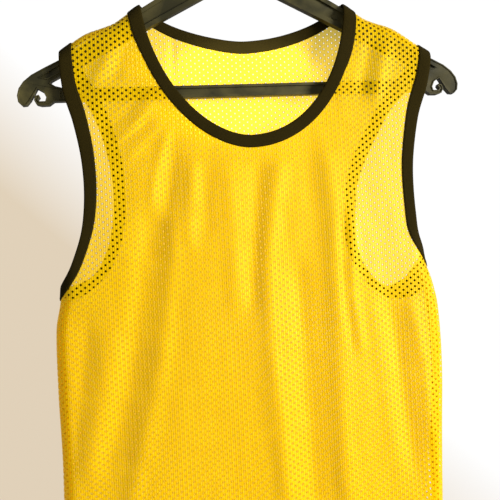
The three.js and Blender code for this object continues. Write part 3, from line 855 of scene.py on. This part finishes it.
# Net of the panels
def inside_loop(points, loop):
    """True for points inside a closed loop, by counting the loop's edges to the right of each point."""
    x, y = points[:, :1], points[:, 1:]
    x0, y0 = loop[:, 0], loop[:, 1]
    x1, y1 = np.roll(x0, -1), np.roll(y0, -1)
    crosses = (y0 > y) != (y1 > y)
    rise = np.where(y1 == y0, 1e-9, y1 - y0)
    return (crosses & (x < x0 + (y - y0) * (x1 - x0) / rise)).sum(1) % 2 == 1


def opening_loops(layer, inward):
    """The three openings as closed loops on the flat cloth, each moved inward and closed beyond the seams."""
    t = np.linspace(0, 1, LOOP_STEPS)
    loops = []
    for opening, far in (("neck", 0), ("left", -LOOP_FAR), ("right", LOOP_FAR)):
        across, down = lay_flat(*edge_of(opening, layer, t, inward))
        beyond = [(far, down[-1]), (far, LOOP_TOP)] if far else [(across[-1], LOOP_TOP)]
        loops.append(np.vstack([np.stack([across, down], 1), *beyond, (across[0], LOOP_TOP)]))
    return loops


def cell_half_widths(look):
    """Half widths of a cell at its upper corners and its middle: (step^2 -+ rise^2) / (2 step)."""
    step, rise = look.hole_across_mm, look.hole_down_mm / 2
    return (step**2 - rise**2) / (2 * step), (step**2 + rise**2) / (2 * step)


def stretch(layer, look, flat):
    """The back's net is stretched over its looser fall, by 4 to 8 hundredths with the depth of the hollow.

    It spreads from one fixed point: fixed + (place - fixed) * (reach + back depth) / (reach - front depth).
    """
    if layer == "front":
        return flat
    height = np.clip(-flat[:, 1], HEM_Z, STRETCH_TOP_Z)
    front = layer_depth["front"](height) + fold_heights("front", np.full(len(flat), STRETCH_ACROSS), height)
    ratio = (STRETCH_REACH + layer_depth["back"](height)) / (STRETCH_REACH - front)
    moved = flat + np.array([cell_half_widths(look)[1], 0.0])
    return STRETCH_POINT + (moved - STRETCH_POINT) * ratio[:, None]


def lattice(look, shift):
    """Centres of a staggered lattice on the flat cloth: every second column lies half a step lower."""
    step, rise = look.hole_across_mm, look.hole_down_mm / 2
    columns = np.arange(-int(NET_REACH / step), int(NET_REACH / step) + 1)
    rows = np.arange(int(NET_TOP / (2 * rise)), int((NET_PAST_HEM - HEM_Z) / (2 * rise)) + 2)
    column, row = (part.ravel() for part in np.meshgrid(columns, rows, indexing="ij"))
    return np.stack([column * step + shift[0], (row + 0.5 * (column % 2)) * 2 * rise + shift[1]], 1)


def hole_growth(layer, look, centre):
    """Size of each hole as a share of the usual one, from where it lies.

    The front's straps are pulled tight over the hanger, so the holes there are larger. The top of the back and
    the front's cloth before the back's armholes hang slack, so their holes are smaller.
    """
    if layer == "back":
        return 1 - SLACK_SHRINK * np.clip((SLACK_FOOT - centre[:, 1]) / SLACK_LENGTH, 0, 1)
    strap = np.clip((STRAP_FOOT - centre[:, 1]) / STRAP_LENGTH, 0, 1)
    strap = strap * np.clip((np.abs(centre[:, 0]) - NECK_POINT_X) / STRAP_MARGIN, 0, 1)
    behind = stretch("back", look, centre - (cell_half_widths(look)[1], 0.0))
    bare = np.any([inside_loop(behind, loop) for loop in opening_loops("back", BARE_GROWTH)[1:]], axis=0)
    return np.where(bare, 1 - SLACK_SHRINK, 1 + STRAP_GROWTH * strap)


def net_mesh(layer, look, lift, shift, keep):
    """Hexagonal net: one six-sided ring of faces round each hole of a staggered lattice, hung on a layer.

    The cells are the lattice's nearest-neighbour hexagons, so that their corners are shared. Corners past the
    hem are pulled back onto it here, and corners past a seam in hang.
    """
    centre = lattice(look, shift)
    centre = centre[keep(stretch(layer, look, centre))]
    near, far = cell_half_widths(look)
    rise = look.hole_down_mm / 2
    corners = np.array([(far, 0), (near, rise), (-near, rise), (-far, 0), (-near, -rise), (near, -rise)])
    angles = np.arctan2(corners[:, 1], corners[:, 0])
    rim = np.stack([np.cos(angles) * look.hole_width_mm / 2, np.sin(angles) * look.hole_height_mm / 2], 1)
    outer = (centre[:, None] + corners).reshape(-1, 2)
    keys = np.round(outer / WELD).astype(np.int64)
    _, first, index = np.unique(keys, axis=0, return_index=True, return_inverse=True)
    index = index.reshape(-1, 6)
    holes = (centre[:, None] + rim * hole_growth(layer, look, centre)[:, None, None]).reshape(-1, 2)
    hole_index = len(first) + np.arange(len(holes)).reshape(-1, 6)
    flat = np.vstack([outer[first], holes])
    faces = np.stack([index, np.roll(index, -1, 1), np.roll(hole_index, -1, 1), hole_index], -1).reshape(-1, 4)
    places = stretch(layer, look, flat)
    x, z = hang(places[:, 0], np.minimum(places[:, 1], -HEM_Z))
    points, normals = cloth_points(layer, x, z)
    points = points + normals * lift
    corner = points[faces]
    area = np.linalg.norm(np.cross(corner[:, 2] - corner[:, 0], corner[:, 3] - corner[:, 1]), axis=1)
    faces = faces[area > LEAST_AREA]
    used = np.unique(faces)
    renumber = np.full(len(points), -1)
    renumber[used] = np.arange(len(used))
    faces = renumber[faces]
    if layer == "front":
        faces = faces[:, ::-1]
    return points[used], faces, (flat - np.array(shift))[used]


def within_sides(flat, z, gap):
    """True for places on the flat cloth that lie further than a gap inside both side seams."""
    width = half_width(np.where(flat[:, 0] < 0, -1.0, 1.0), z)
    return width + QUARTER_LEAD * SIDE_ROLL - np.abs(flat[:, 0]) > gap


def inside_panel(layer, look):
    """Keeps the cells of a panel that lie between the seams and reach under the tapes."""
    loops = opening_loops(layer, UNDER_TAPE * look.tape_width_mm)

    def keep(centre):
        x, z = hang(centre[:, 0], centre[:, 1])
        margin = PAST_SEAM * look.hole_across_mm
        inside = within_sides(centre, z, -margin)
        inside &= centre[:, 1] + shoulder_z(x) + QUARTER_LEAD * SHOULDER_ROLL > -margin
        inside &= centre[:, 1] < -HEM_Z + margin
        for loop in loops:
            inside &= ~inside_loop(centre, loop)
        return inside

    return keep


def flat_size(layer, look):
    """Width, length and area in square metres of a panel's cut, from its outline on the flat cloth."""
    z = np.linspace(HEM_Z, UNDERARM_Z, WIDTH_STEPS)
    left, right = half_width(-np.ones(WIDTH_STEPS), z), half_width(np.ones(WIDTH_STEPS), z)
    width = (left + right + 2 * QUARTER_LEAD * SIDE_ROLL).max()
    length = -HEM_Z + shoulder_z(np.array([HIGH_POINT_X]))[0] + QUARTER_LEAD * SHOULDER_ROLL
    across, down = np.arange(-NET_REACH, NET_REACH, AREA_STEP), np.arange(*AREA_DOWN, AREA_STEP)
    cells = np.stack(np.meshgrid(across, down, indexing="ij"), -1).reshape(-1, 2)
    area = inside_panel(layer, look)(cells).sum() * AREA_STEP**2
    return width * MM, length * MM, area * MM * MM


def build_panel(layer, look, cloth):
    """One layer's net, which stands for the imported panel."""
    points, faces, flat = net_mesh(layer, look, 0.0, (0, 0), inside_panel(layer, look))
    panel = add_piece(layer + "_mesh", points, faces, cloth, flat)
    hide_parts(layer + "_panel")
    return panel


def turned_hem(layer, look, cloth):
    """The hem's inner layer: a net strip inside the panel, as far up as the hem is high, over its fold."""

    def keep(centre):
        _, z = hang(centre[:, 0], centre[:, 1])
        inside = within_sides(centre, z, HEM_SIDE_GAP)
        return inside & (centre[:, 1] > -HEM_Z - look.hem_mm) & (centre[:, 1] < -HEM_Z + 1)

    shift = (HEM_SHIFT[0] * look.hole_across_mm, HEM_SHIFT[1])
    points, faces, flat = net_mesh(layer, look, -HEM_GAP, shift, keep)
    return add_piece(layer + "_hem", points, faces, cloth, flat)


def hem_line(layer, share, down):
    """Across, points and normals of a layer at shares of its flat half width and one distance down."""
    down = np.full(share.shape, down)
    across = share * (half_width(share, -down) + QUARTER_LEAD * SIDE_ROLL)
    return across, *cloth_points(layer, *hang(across, down))


def hem_fold(layer, cloth):
    """The fold at the very edge: a half round that joins the outer layer to the hem inside it.

    It turns about the middle of the hem's gap: out by radius * cos(angle), down by radius * sin(angle).
    """
    across, points, normals = hem_line(layer, np.linspace(-1, 1, HEM_COLUMNS), -HEM_Z)
    angles = np.linspace(0, math.pi, HEM_TURN)
    lift = (-HEM_GAP / 2 + HEM_FOLD_RADIUS * np.cos(angles))[None, :, None]
    below = (HEM_FOLD_RADIUS * np.sin(angles))[None, :, None]
    rows = points[:, None] + normals[:, None] * lift - np.array([0, 0, 1.0]) * below
    start = points[:, None] + normals[:, None] * HEM_FOLD_LIFT + np.array([0, 0, HEM_FOLD_LIP])
    rows = np.concatenate([start, rows], 1)
    count = HEM_TURN + 1
    down = -HEM_Z + np.arange(count) * HEM_FOLD_STEP
    flat = np.stack([np.repeat(across, count), np.tile(down, HEM_COLUMNS)], 1)
    return add_piece(layer + "_hem_fold", rows, grid_faces(HEM_COLUMNS, count), cloth, flat)


def shoulder_seam(name, x, cloth):
    """Shoulder seam allowance: a strip inside the back, lifted inward by lift + lift * sin(pi * share)."""
    rows, flat = [], []
    for k in range(SEAM_STEPS):
        fall = drop_of(np.full(x.shape, k * SEAM_WIDTH / (SEAM_STEPS - 1)), SHOULDER_ROLL)
        z = shoulder_z(x) - fall
        points, normals = cloth_points("back", x, z)
        lift = -SHOULDER_SEAM_LIFT - SHOULDER_SEAM_LIFT * math.sin(math.pi * k / (SEAM_STEPS - 1))
        rows.append(points + normals * lift)
        flat.append(np.stack([x + k, z], 1))
    rows, flat = np.stack(rows, 1), np.stack(flat, 1).reshape(-1, 2)
    strip = add_piece(name, rows, grid_faces(len(x), SEAM_STEPS), cloth, flat)
    add_modifier(strip, "SOLIDIFY", thickness=SHOULDER_SEAM_THICKNESS * MM, offset=0)
    return strip


def side_seam(name, sign, top_z, cloth):
    """Side seam allowance: a strip from the side line into the hollow, at y = inward * (lean + waves)."""
    z = np.linspace(top_z, HEM_Z + 1, SIDE_SEAM_ROWS)[:, None]
    inward = np.linspace(SIDE_SEAM_START, SIDE_SEAM_END + SEAM_WIDTH, SEAM_STEPS)[None, :]
    x = sign * (half_width(np.full(z.shape, sign), z) - inward)
    lean = SIDE_SEAM_LEAN
    for height, length in SIDE_SEAM_WAVES:
        lean = lean + height * np.sin(z / length)
    down = np.broadcast_to(z, x.shape)
    points = np.stack([x, inward * lean, down], -1)
    flat = np.stack([np.broadcast_to(inward, x.shape), down], -1).reshape(-1, 2)
    strip = add_piece(name, points, grid_faces(SIDE_SEAM_ROWS, SEAM_STEPS), cloth, flat)
    add_modifier(strip, "SOLIDIFY", thickness=SIDE_SEAM_THICKNESS * MM, offset=0)
    return strip


# Tapes
def tape_profile(look):
    """Half section of a folded tape: distances in from the free edge, and half thickness there.

    The free edge is a half round, the middle swells a little and the sewn edge is pressed flat.
    """
    inward = TAPE_SECTION[:, 0] * look.tape_width_mm / TAPE_SECTION[-1, 0]
    return inward, TAPE_SECTION[:, 1] * look.tape_thickness_mm / 2


def build_tape(opening, name, node, look):
    """A tape folded over an opening's edge: its section goes in on the outside and back on the inside."""
    inward, half = tape_profile(look)
    around = np.concatenate([inward, inward[::-1]])
    lift = np.concatenate([half, -half[::-1]])
    points, _ = loop_points(opening, TAPE_STEPS[opening], around, lift)
    stations, rows = points.shape[:2]
    middle = points[:, TAPE_MIDDLE]
    travelled = np.concatenate([[0], np.cumsum(np.linalg.norm(np.diff(middle, axis=0), axis=1))])
    flat = np.stack([np.repeat(travelled, rows), np.tile(around, stations)], 1)
    tape = material_of("Polyester knit tape", knit_tape, look)
    piece = add_piece(name, points, grid_faces(stations, rows, True, True), tape, flat)
    outward(piece)
    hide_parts(node)
    return piece


# Stitches
def stitch_row(name, points, normals, look, material):
    """Short thread beads along a path: each a bent capsule, thickest and highest in its middle.

    Thickness and height go with sin(pi * (tip + span * share)), where share runs along the bead.
    """
    steps = np.linalg.norm(np.diff(points, axis=0), axis=1)
    travelled = np.concatenate([[0], np.cumsum(steps)])
    count = int(travelled[-1] / look.stitch_mm)
    shares = np.linspace(0, 1, BEAD_POINTS)
    starts = np.arange(count) * look.stitch_mm
    at = starts[:, None] + BEAD_START * look.stitch_mm + shares * BEAD_LENGTH * look.stitch_mm
    place = np.stack([np.interp(at, travelled, points[:, k]) for k in range(3)], -1)
    out = np.stack([np.interp(at, travelled, normals[:, k]) for k in range(3)], -1)
    out /= np.linalg.norm(out, axis=-1, keepdims=True)
    ahead = place[:, -1:] - place[:, :1]
    ahead = ahead / np.linalg.norm(ahead, axis=-1, keepdims=True)
    side = np.cross(out, ahead)
    swell = np.sin(math.pi * (BEAD_TIP + BEAD_SPAN * shares))[None, :, None, None]
    angles = np.linspace(0, 2 * math.pi, BEAD_SIDES, endpoint=False)[None, None, :, None]
    ring = np.cos(angles) * side[:, :, None] + np.sin(angles) * out[:, :, None]
    centre = place[:, :, None] + out[:, :, None] * (BEAD_REST + BEAD_RISE * swell)
    beads = centre + ring * THREAD_RADIUS * swell
    local = grid_faces(BEAD_POINTS, BEAD_SIDES, False, True)
    faces = (local[None] + np.arange(count)[:, None, None] * (BEAD_POINTS * BEAD_SIDES)).reshape(-1, 4)
    piece = add_piece(name, beads, faces, material)
    outward(piece)
    return piece


def tape_stitches(opening, name, look):
    """The row of stitches near a tape's sewn edge, on its outside."""
    lift = float(np.interp(STITCH_INSET, *tape_profile(look)))
    points, normals = loop_points(opening, STITCH_STEPS, [STITCH_INSET], [lift])
    thread = material_of("Black sewing thread", sewing_thread, "Black sewing thread", look.tape_colour)
    return stitch_row(name, points[:, 0], normals[:, 0], look, thread)


def hem_stitches(layer, look):
    """The row of stitches just below the top of a turned hem."""
    share = np.linspace(-HEM_STITCH_REACH, HEM_STITCH_REACH, HEM_STITCH_STEPS)
    _, points, normals = hem_line(layer, share, -HEM_Z - look.hem_mm + HEM_STITCH_INSET)
    thread = material_of("Yellow sewing thread", sewing_thread, "Yellow sewing thread", look.cloth_colour)
    points = points + normals * THREAD_OVER_CLOTH
    return stitch_row(layer + "_hem_stitches", points, normals, look, thread)


# Hanger
def recess_ends(work):
    """Rims of the hanger's ends: both flat faces of each end are let in, a rim's width from their outline."""
    for side in (-1.0, 1.0):
        parts = work.verts[:] + work.edges[:] + work.faces[:]
        bmesh.ops.bisect_plane(work, geom=parts, plane_co=(side * END_START_X * MM, 0, 0), plane_no=(1, 0, 0))
    work.normal_update()
    ends = [
        face for face in work.faces
        if abs(face.normal.y) > 0.99 and abs(face.calc_center_median().x) > END_START_X * MM
        and abs(face.calc_center_median().y) > (END_FACE_Y - 0.1) * MM
    ]
    for width, depth in ((END_RIM, 0.0), (END_SLOPE, -END_RECESS)):
        bmesh.ops.inset_region(
            work, faces=ends, thickness=width * MM, depth=depth * MM, use_even_offset=False, use_boundary=True
        )


def ejector_mark(name, plastic):
    """The raised ring that an ejector pin leaves: a torus of that radius, its tube half sunk in the face."""
    steps, sides = EJECTOR_STEPS
    x, z = EJECTOR_PLACE
    turn = np.linspace(0, 2 * math.pi, steps, endpoint=False)[:, None]
    tube = np.linspace(0, 2 * math.pi, sides, endpoint=False)[None, :]
    away = EJECTOR_RADIUS + EJECTOR_TUBE * np.cos(tube)
    y = np.broadcast_to(EJECTOR_FACE_Y - EJECTOR_TUBE * np.sin(tube), EJECTOR_STEPS)
    points = np.stack([x + away * np.cos(turn), y, z + away * np.sin(turn)], -1)
    ring = add_piece(name, points, grid_faces(steps, sides, True, True), plastic)
    outward(ring)
    return ring


# Operators
class ShirtOperator:
    """Builds its pieces from the scene's sizes and colours"""

    bl_options = {"REGISTER", "UNDO"}

    def execute(self, context):
        self.build(context.scene.shirt_look)
        return {"FINISHED"}


class SHIRT_OT_panels(ShirtOperator, bpy.types.Operator):
    """Front and back of holed mesh, with their turned hems"""

    bl_idname = "shirt.panels"
    bl_label = "Panels and hems"

    def build(self, look):
        cloth = material_of("Polyester tricot mesh", mesh_cloth, look)
        for layer in ("front", "back"):
            panel = build_panel(layer, look, cloth)
            hem = turned_hem(layer, look, cloth)
            fold = hem_fold(layer, cloth)
            width, length, area = flat_size(layer, look)


class SHIRT_OT_seams(ShirtOperator, bpy.types.Operator):
    """Seam allowances at both sides and both shoulders"""

    bl_idname = "shirt.seams"
    bl_label = "Side and shoulder seams"

    def build(self, look):
        cloth = material_of("Polyester tricot mesh", mesh_cloth, look)
        tape = look.tape_width_mm
        for side, sign in SIDE_SIGN.items():
            hole = ARMHOLES[side]
            side_seam("side_seam_" + side, sign, hole["seam_z"] - tape + SIDE_SEAM_UNDER, cloth)
            start, end = NECK_POINT_X + tape - SHOULDER_SEAM_UNDER, hole["tip"] - tape + SHOULDER_SEAM_UNDER
            x = sign * np.linspace(start, end, SHOULDER_SEAM_COLUMNS)
            shoulder_seam("shoulder_seam_" + side, x, cloth)


class SHIRT_OT_tapes(ShirtOperator, bpy.types.Operator):
    """Folded edging tapes round the neck and both armholes"""

    bl_idname = "shirt.tapes"
    bl_label = "Edging tapes"

    def build(self, look):
        build_tape("neck", "neck_tape", "neck_binding", look)
        build_tape("left", "armhole_tape_wearer_right", "armhole_binding_wearer_right", look)
        build_tape("right", "armhole_tape_wearer_left", "armhole_binding_wearer_left", look)


class SHIRT_OT_stitches(ShirtOperator, bpy.types.Operator):
    """Rows of stitches on the tapes and hems"""

    bl_idname = "shirt.stitches"
    bl_label = "Stitches"

    def build(self, look):
        tape_stitches("neck", "neck_tape_stitches", look)
        tape_stitches("left", "armhole_stitches_wearer_right", look)
        tape_stitches("right", "armhole_stitches_wearer_left", look)
        hem_stitches("front", look)
        hem_stitches("back", look)


class SHIRT_OT_hanger(ShirtOperator, bpy.types.Operator):
    """The moulded hanger with softened edges"""

    bl_idname = "shirt.hanger"
    bl_label = "Hanger"

    def build(self, look):
        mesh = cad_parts["hanger"].data.copy()
        work = bmesh.new()
        work.from_mesh(mesh)
        bmesh.ops.remove_doubles(work, verts=work.verts, dist=MERGE_DISTANCE * MM)
        flat = math.radians(FLAT_ANGLE)
        bmesh.ops.dissolve_limit(work, angle_limit=flat, verts=work.verts, edges=work.edges)
        recess_ends(work)
        work.to_mesh(mesh)
        work.free()
        mesh.name = "hanger_moulding"
        mesh.materials.clear()
        plastic = material_of("Moulded polypropylene", moulded_plastic, look)
        moulding = add_object("hanger_moulding", mesh, plastic)
        mesh.set_sharp_from_angle(angle=math.radians(SHARP_ANGLE))
        add_modifier(
            moulding, "BEVEL", width=EDGE_ROUNDING * MM, segments=3, limit_method="ANGLE",
            angle_limit=math.radians(ROUNDED_ANGLE), harden_normals=True,
        )
        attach(moulding, "root")
        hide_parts("hanger")
        ejector_mark("ejector_mark", plastic)


# Camera as fitted to the hanger in the photograph, in metres: a little to the left, slightly rolled
CAMERA_PLACE = (-0.08857, -0.69478, -0.34169)
CAMERA_FORWARD = (0.12169, 0.99255, -0.00663)
CAMERA_RIGHT = (0.99108, -0.12187, -0.05402)
CAMERA_LENS = 52.72
CAMERA_SENSOR = 36

# Cove, in metres: its wall, its bend, the floor's inner rings and how far the floor lies below the part
COVE_RADIUS = 4.0
COVE_HEIGHT = 5.0
COVE_BEND = 1.2
COVE_RINGS = (0.001, 1.2)
COVE_FLOOR_DROP = 0.9
COVE_SIDES = 96
COVE_BEND_STEPS = 14

# Lamps, in metres and watts: place, what they point at, size, power and colour
LAMPS = {
    "key_light": ((2.2, -1.75, -0.1), (0, 0, -0.38), 1.1, 144, (1.0, 0.98, 0.93)),
    "fill_light": ((-1.6, -1.9, 0.1), (0, 0, -0.38), 1.8, 1, (1.0, 0.98, 0.95)),
    "back_light": ((1.2, 1.8, 0.4), (0, 0, -0.3), 1.4, 13, (1.0, 0.98, 0.94)),
    "neck_light": ((0, -0.001, -0.19), (0, 0.1, -0.19), 0.16, 0.1, (1.0, 1.0, 0.98)),
}
NECK_LIGHT_HEIGHT = 0.1
SKY_COLOUR = (1.0, 0.99, 0.97, 1)
SKY_STRENGTH = 0.37


def add_area_light(name, place, target, size, power, colour):
    """A round area lamp at a place, turned to its target."""
    light = bpy.data.lights.new(name, "AREA")
    light.shape = "DISK"
    light.size = size
    light.energy = power
    light.color = colour
    lamp = bpy.data.objects.new(name, light)
    lamp.location = place
    lamp.rotation_euler = (Vector(target) - Vector(place)).to_track_quat("-Z", "Y").to_euler()
    bpy.context.scene.collection.objects.link(lamp)
    return lamp


def add_camera():
    """The camera's axes: right, up (right x forward) and back."""
    right, forward = Vector(CAMERA_RIGHT).normalized(), Vector(CAMERA_FORWARD).normalized()
    axes = Matrix((right, right.cross(forward), -forward)).transposed().to_4x4()
    axes.translation = Vector(CAMERA_PLACE)
    data = bpy.data.cameras.new("photo_camera")
    data.sensor_width = CAMERA_SENSOR
    data.lens = CAMERA_LENS
    camera = bpy.data.objects.new("photo_camera", data)
    camera.matrix_world = axes
    bpy.context.scene.collection.objects.link(camera)
    bpy.context.scene.camera = camera


def add_cove(look):
    """Floor and backdrop in one surface of revolution: a flat disc, a quarter round, then an upright wall."""
    angles = np.linspace(0, math.pi / 2, COVE_BEND_STEPS)
    flat = COVE_RADIUS - COVE_BEND
    radius = np.concatenate([[*COVE_RINGS, flat], flat + COVE_BEND * np.sin(angles), [COVE_RADIUS]])
    height = np.concatenate([[0, 0, 0], COVE_BEND - COVE_BEND * np.cos(angles), [COVE_HEIGHT]])
    height = height - COVE_FLOOR_DROP + CAD_BOX[0][2]
    turn = np.linspace(0, 2 * math.pi, COVE_SIDES, endpoint=False)[:, None]
    level = np.broadcast_to(height, (COVE_SIDES, len(height)))
    points = np.stack([radius * np.cos(turn), radius * np.sin(turn), level], -1)
    mesh = bpy.data.meshes.new("studio_cove")
    faces = grid_faces(COVE_SIDES, len(height), True, False)
    mesh.from_pydata(points.reshape(-1, 3).tolist(), [], faces.tolist())
    cove = add_object("studio_cove", mesh, material_of("Painted studio cove", studio_white, look))
    cove.visible_shadow = False
    cove.visible_diffuse = False
    cove.visible_glossy = False


class SHIRT_OT_stage(ShirtOperator, bpy.types.Operator):
    """Pale cove, soft light and the camera"""

    bl_idname = "shirt.stage"
    bl_label = "Stage"

    def build(self, look):
        add_camera()
        add_cove(look)
        lamps = {name: add_area_light(name, *values) for name, values in LAMPS.items()}
        neck_light = lamps["neck_light"]
        neck_light.data.shape = "ELLIPSE"
        neck_light.data.size_y = NECK_LIGHT_HEIGHT
        neck_light.visible_camera = False
        world = bpy.data.worlds.new("studio")
        world.use_nodes = True
        sky = world.node_tree.nodes["Background"].inputs
        sky["Color"].default_value = SKY_COLOUR
        sky["Strength"].default_value = SKY_STRENGTH
        bpy.context.scene.world = world
        bpy.context.scene.view_settings.view_transform = "Standard"


class SHIRT_PT_panel(bpy.types.Panel):
    """Shows the sizes and colours that a user would change, and a button for each group of pieces"""

    bl_label = "Hanging shirt"
    bl_idname = "SHIRT_PT_panel"
    bl_space_type = "VIEW_3D"
    bl_region_type = "UI"
    bl_category = "Shirt"

    def draw(self, context):
        for name in ShirtLook.__annotations__:
            self.layout.prop(context.scene.shirt_look, name)
        for operator in OPERATORS:
            self.layout.operator(operator.bl_idname)


OPERATORS = (
    SHIRT_OT_stage,
    SHIRT_OT_panels,
    SHIRT_OT_seams,
    SHIRT_OT_tapes,
    SHIRT_OT_stitches,
    SHIRT_OT_hanger,
)
CLASSES = (ShirtLook, *OPERATORS, SHIRT_PT_panel)


def register():
    """Adds the operators, the panel and the scene's settings."""
    for item in CLASSES:
        bpy.utils.register_class(item)
    bpy.types.Scene.shirt_look = bpy.props.PointerProperty(type=ShirtLook)


def unregister():
    """Takes the settings and the classes away again."""
    del bpy.types.Scene.shirt_look
    for item in reversed(CLASSES):
        bpy.utils.unregister_class(item)


def main():
    """Builds the whole scene."""
    register()
    bpy.ops.shirt.stage()
    bpy.ops.shirt.panels()
    bpy.ops.shirt.seams()
    bpy.ops.shirt.tapes()
    bpy.ops.shirt.stitches()
    bpy.ops.shirt.hanger()


if __name__ == "__main__":
    main()
